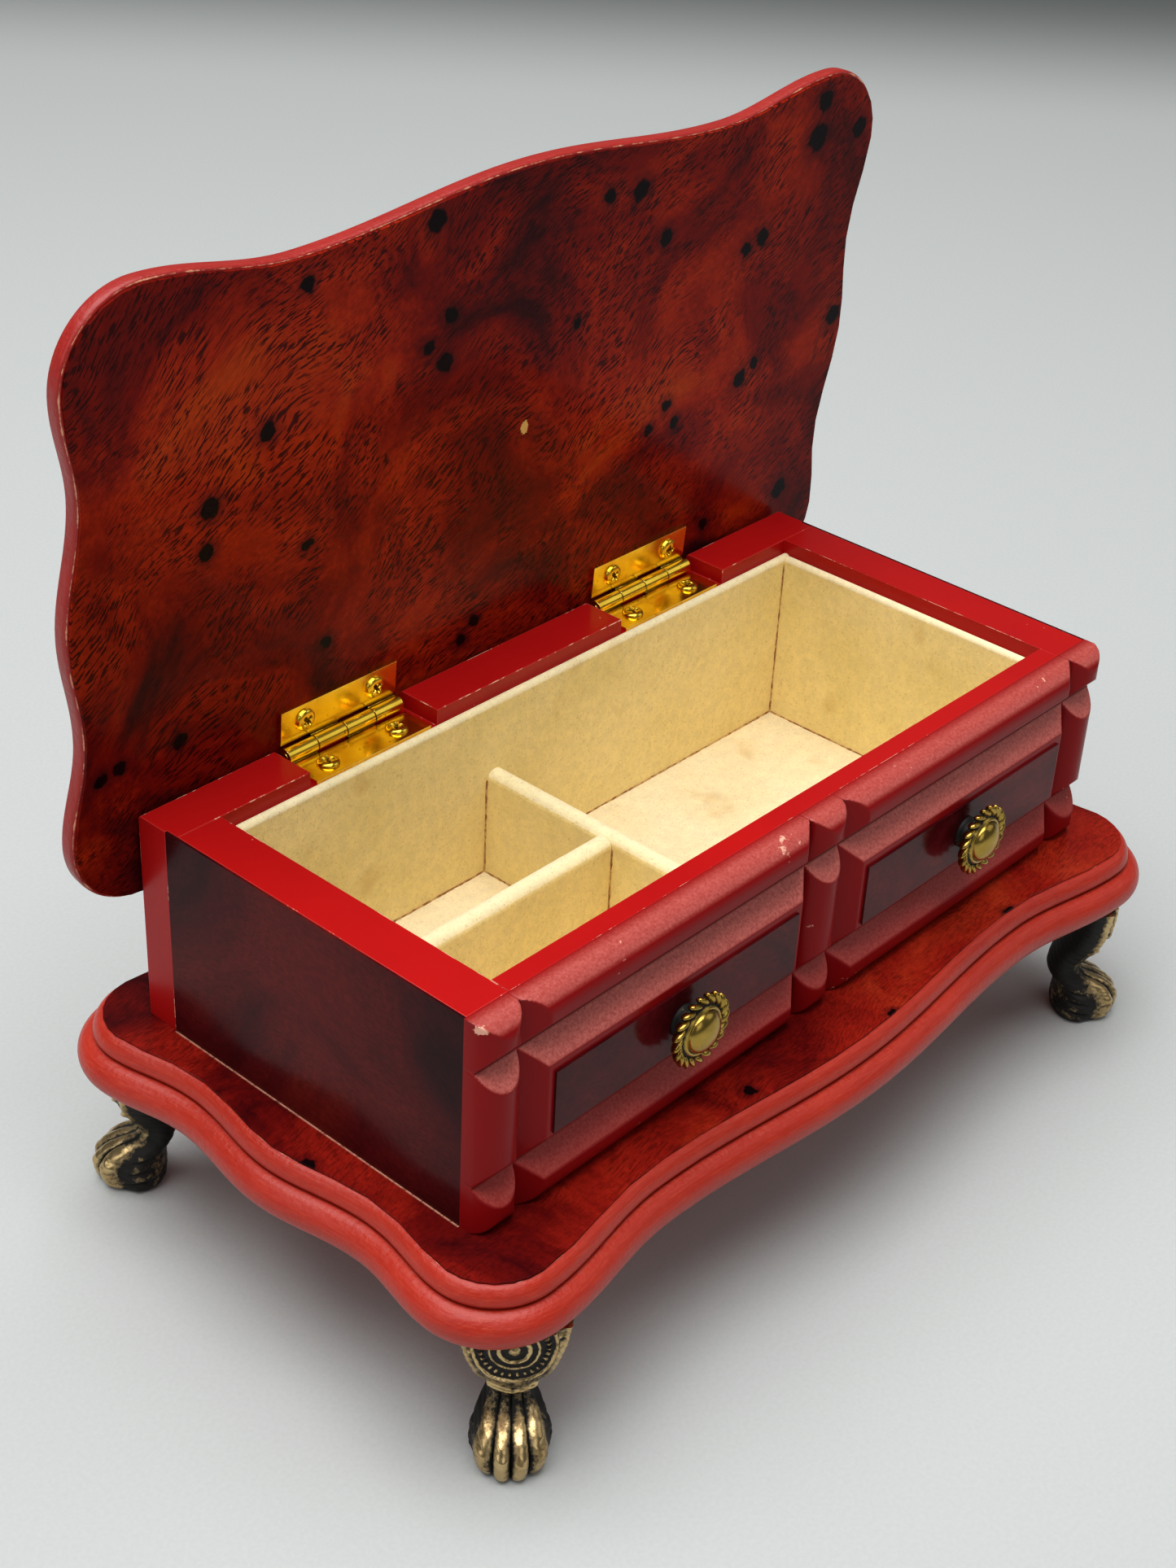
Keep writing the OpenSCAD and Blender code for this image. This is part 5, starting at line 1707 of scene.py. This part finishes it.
    def surface(self) -> tuple[np.ndarray, np.ndarray]:
        """Points of the casting, ring by ring from the floor up, and how dark each lies: patina in the creases,
        the chased ground and the leg, painted shade on the back, and darker towards the floor.
        """
        shape = np.array(self.stations)
        top = shape[-1, 0]
        fine = np.linspace(0, top, 2000)
        run = np.gradient(smooth_curve(shape[:, 0], shape[:, 1], fine), fine)
        length = np.concatenate([[0], np.cumsum(np.hypot(1, run[1:]) * np.diff(fine))])
        z = np.interp(np.linspace(0, length[-1], int(length[-1] / self.row_step)), length, fine)[:, None]
        front, back, half = (smooth_curve(shape[:, 0], shape[:, k], z) for k in (1, 2, 3))
        ahead = np.linspace(-math.pi / 2, math.pi / 2, self.front_points, endpoint=False)
        behind = np.linspace(math.pi / 2, 3 * math.pi / 2, self.back_points, endpoint=False)
        theta = np.concatenate([ahead, behind])[None, :]
        middle = back + 0.46 * (front - back)
        reach = np.where(np.cos(theta) > 0, front - middle, middle - back)
        u = np.sign(np.sin(theta)) * np.abs(np.sin(theta)) ** 0.88 + 0 * z
        x = middle + reach * np.sign(np.cos(theta)) * np.abs(np.cos(theta)) ** 0.82
        y = half * u
        facing = np.clip(np.cos(theta) * 2.2 + 0.25, 0, 1) + 0 * z
        # Four toes: round lobes with deep creases, running up into tendons
        depth_at = np.array(self.toe_depth)
        depth = np.interp(z, depth_at[:, 0], depth_at[:, 1])
        lobe = np.abs(np.sin(2 * math.pi * u)) ** 0.5
        crease = depth * (1 - lobe) * facing
        # Folds along the flanks of the paw, between toe, pad and heel
        flank = np.clip((np.abs(u) - 0.7) / 0.2, 0, 1) * (x > -2.0)
        for level, fold in ((3.4, 1.0), (6.4, 0.8), (9.2, 0.7)):
            crease = np.maximum(crease, fold * flank * np.exp(-((z - level + 0.08 * x) / 0.55) ** 2))
        x = x - np.clip(1 - z / 11, 0, 1) * 2.1 * u ** 2 * facing
        knuckle = 0.45 * np.exp(-((z - 6.2) / 1.7) ** 2) * lobe * facing
        s = half * np.arcsin(np.clip(u, -1, 1)) * 0.92
        relief, ground = self.chasing(s, z + 0 * u, u)
        relief = relief * np.clip((z - 17.3) / 1.2, 0, 1) * facing
        cast = 0.12 * np.sin(7 * theta + 2.1 * z) * np.sin(1.3 * z + 3 * theta)
        out = relief + knuckle - crease + cast * (z > 0.5) * (z < top - 0.5)
        along_x, along_y = np.gradient(x, axis=1), np.gradient(y, axis=1)
        length = np.hypot(along_x, along_y)
        x = x + out * along_y / length
        y = y - out * along_x / length
        hollow = np.clip(crease / 1.9, 0, 1) + ground * np.clip(1 - relief / 0.45, 0, 1)
        leg = np.clip((z - 10.5) / 3, 0, 1) * (1 - 0.9 * np.clip(relief / 0.5, 0, 1))
        # Painted shade on the back of the foot, under the plinth
        shadow = (1 - facing) * 0.5
        # The lowest 1.6 mm grow darker towards the floor
        hollow = np.clip(hollow + shadow + 0.42 * leg + 0.4 * np.clip(1 - z / 1.6, 0, 1), 0, 1.2)
        return np.stack([x, y, z + 0 * x], -1), hollow

    def plate(self, finish: bpy.types.Material) -> bpy.types.Object:
        """The mounting plate at the top, behind the knee."""
        top = self.stations[-1][0]
        low = Vector((self.plate_x[0], -self.plate_half_y, top - self.plate_t))
        high = Vector((self.plate_x[1], self.plate_half_y, top))
        work = bmesh.new()
        bmesh.ops.create_cube(work, size=1.0)
        for vertex in work.verts:
            vertex.co = Vector(low[k] + (high[k] - low[k]) * (vertex.co[k] + 0.5) for k in range(3)) * MM
        posts = [e for e in work.edges if abs(e.verts[0].co.z - e.verts[1].co.z) > 0.5 * MM]
        bmesh.ops.bevel(work, geom=posts, offset=2.5 * MM, segments=6, profile=0.5, affect="EDGES")
        rims = [e for e in work.edges if e.calc_face_angle(0) > 1.2]
        bmesh.ops.bevel(work, geom=rims, offset=0.3 * MM, segments=2, profile=0.5, affect="EDGES")
        mesh = bpy.data.meshes.new("plate")
        work.to_mesh(mesh)
        work.free()
        layer = mesh.attributes.new("patina_and_shade", "FLOAT", "POINT")
        layer.data.foreach_set("value", [0.7] * len(mesh.vertices))
        mesh.materials.append(finish)
        obj = bpy.data.objects.new("plate", mesh)
        bpy.context.scene.collection.objects.link(obj)
        return obj

    def build(self, finish: bpy.types.Material) -> bpy.types.Object:
        """Builds the foot under its corner.

        Args:
            finish: Material of the foot.

        Returns:
            The piece.
        """
        points, hollow = self.surface()
        rows, columns = hollow.shape
        faces: list[Sequence[int]] = list(grid_faces(rows, columns, True))
        faces.append(tuple(range(columns)))
        faces.append(tuple(range((rows - 1) * columns, rows * columns)))
        casting = mesh_object("casting", points.reshape(-1, 3) * MM, faces, {"patina_and_shade": hollow.ravel()})
        outward(casting)
        casting.data.materials.append(finish)
        piece = joined(f"{self.node}_cast", [casting, self.plate(finish)])
        piece.data.transform(self.place(self.sx, self.sy))
        piece.data.set_sharp_from_angle(angle=math.radians(60))
        settle(piece, self.node)
        return piece


# ---- Studio ----

@dataclass
class SoftBox:
    """One square studio light: place, size and power, aimed at the box."""
    name: str
    place: tuple[float, float, float]
    size: float
    watts: float
    tint: str = "#FFFFFF"

    def hang(self, aim: Vector) -> None:
        """Hangs the light so that it faces the aim."""
        light = bpy.data.lights.new(self.name, "AREA")
        light.shape = "SQUARE"
        light.size = self.size
        light.energy = self.watts
        light.color = linear(self.tint)[:3]
        obj = bpy.data.objects.new(self.name, light)
        obj.location = self.place
        obj.rotation_euler = (aim - Vector(self.place)).to_track_quat("-Z", "Y").to_euler()
        bpy.context.scene.collection.objects.link(obj)


@dataclass
class Studio:
    """Plain pale floor, soft lights and the camera."""
    camera_mm: tuple[float, float, float] = (-373.75, -300.52, 393.15)
    azimuth: float = -49.30
    elevation: float = 32.34
    roll: float = 3.10
    lens: float = 55.34
    floor_size: float = 9.0
    ambient: float = 0.16
    room: str = "#E2E4E2"
    lights: tuple[SoftBox, ...] = (
        SoftBox("overhead", (-0.2, 0.1, 1.55), 1.6, 41.5),
        SoftBox("left", (-1.6, 0.3, 0.9), 0.9, 3.5),
        SoftBox("front", (-0.8, -1.8, 1.3), 1.2, 4.5),
        SoftBox("right", (1.35, -1.05, 1.2), 1.2, 3.2))

    def build(self) -> None:
        """Builds the studio."""
        self.floor()
        self.world()
        aim = Vector((0.0, 0.0, 0.09))
        for light in self.lights:
            light.hang(aim)
        self.camera()
        bpy.context.scene.view_settings.view_transform = "Standard"
        bpy.context.scene.view_settings.look = "None"
        bpy.context.scene.view_settings.exposure = 0.0

    def floor(self) -> None:
        """Lays the floor, with the painted shade at the end of its paper away from the camera."""
        half = self.floor_size / 2
        sheet = mesh_object("floor", np.array([(-half, -half, 0.0), (half, -half, 0.0), (half, half, 0.0),
                                               (-half, half, 0.0)]), [(0, 1, 2, 3)])
        a = math.radians(self.azimuth)
        sheet.data.materials.append(StudioPaper(ahead=(-math.sin(a), math.cos(a))).material())

    def world(self) -> None:
        """Fills the room with even pale light."""
        world = bpy.data.worlds.new("room")
        world.use_nodes = True
        world.node_tree.nodes.clear()
        glow = add_node(world.node_tree, "ShaderNodeBackground", {"Color": linear(self.room),
                                                                  "Strength": self.ambient})
        add_node(world.node_tree, "ShaderNodeOutputWorld", {"Surface": glow.outputs[0]})
        bpy.context.scene.world = world

    def camera(self) -> None:
        """Sets up the camera from its place, its azimuth, its elevation and its roll."""
        a, e, r = (math.radians(v) for v in (self.azimuth, self.elevation, self.roll))
        back = Vector((math.sin(a) * math.cos(e), -math.cos(a) * math.cos(e), math.sin(e)))
        level = Vector((math.cos(a), math.sin(a), 0.0))
        up = back.cross(level)
        right = math.cos(r) * level + math.sin(r) * up
        above = -math.sin(r) * level + math.cos(r) * up
        turn = Matrix((right, above, back)).transposed()
        lens = bpy.data.cameras.new("camera")
        lens.lens = self.lens
        lens.sensor_width = 36.0
        lens.sensor_fit = "AUTO"
        lens.clip_start = 0.01
        camera = bpy.data.objects.new("camera", lens)
        camera.matrix_world = Matrix.Translation(Vector(self.camera_mm) * MM) @ turn.to_4x4()
        bpy.context.scene.collection.objects.link(camera)
        bpy.context.scene.camera = camera


def main() -> None:
    """Builds the jewelry box piece by piece, then its studio."""
    logging.basicConfig(level=logging.INFO, format="%(name)s: %(message)s")
    Plinth().build()
    Case().build()
    Lining().build()
    Lid().build()
    Hardware().build()
    knob_brass = AntiqueBrass(name="antiqued brass of the knobs", bright="#C4A652", warm="#846424",
                              shine=0.22, patina_and_shade=0.72).material()
    for side in ("left", "right"):
        Knob(f"knob_{side}").build(knob_brass)
    foot_brass = AntiqueBrass().material()
    for row, sy in (("front", -1), ("rear", 1)):
        for side, sx in (("left", -1), ("right", 1)):
            PawFoot(f"foot_{row}_{side}", sx, sy).build(foot_brass)
    Studio().build()


if __name__ == "__main__":
    main()
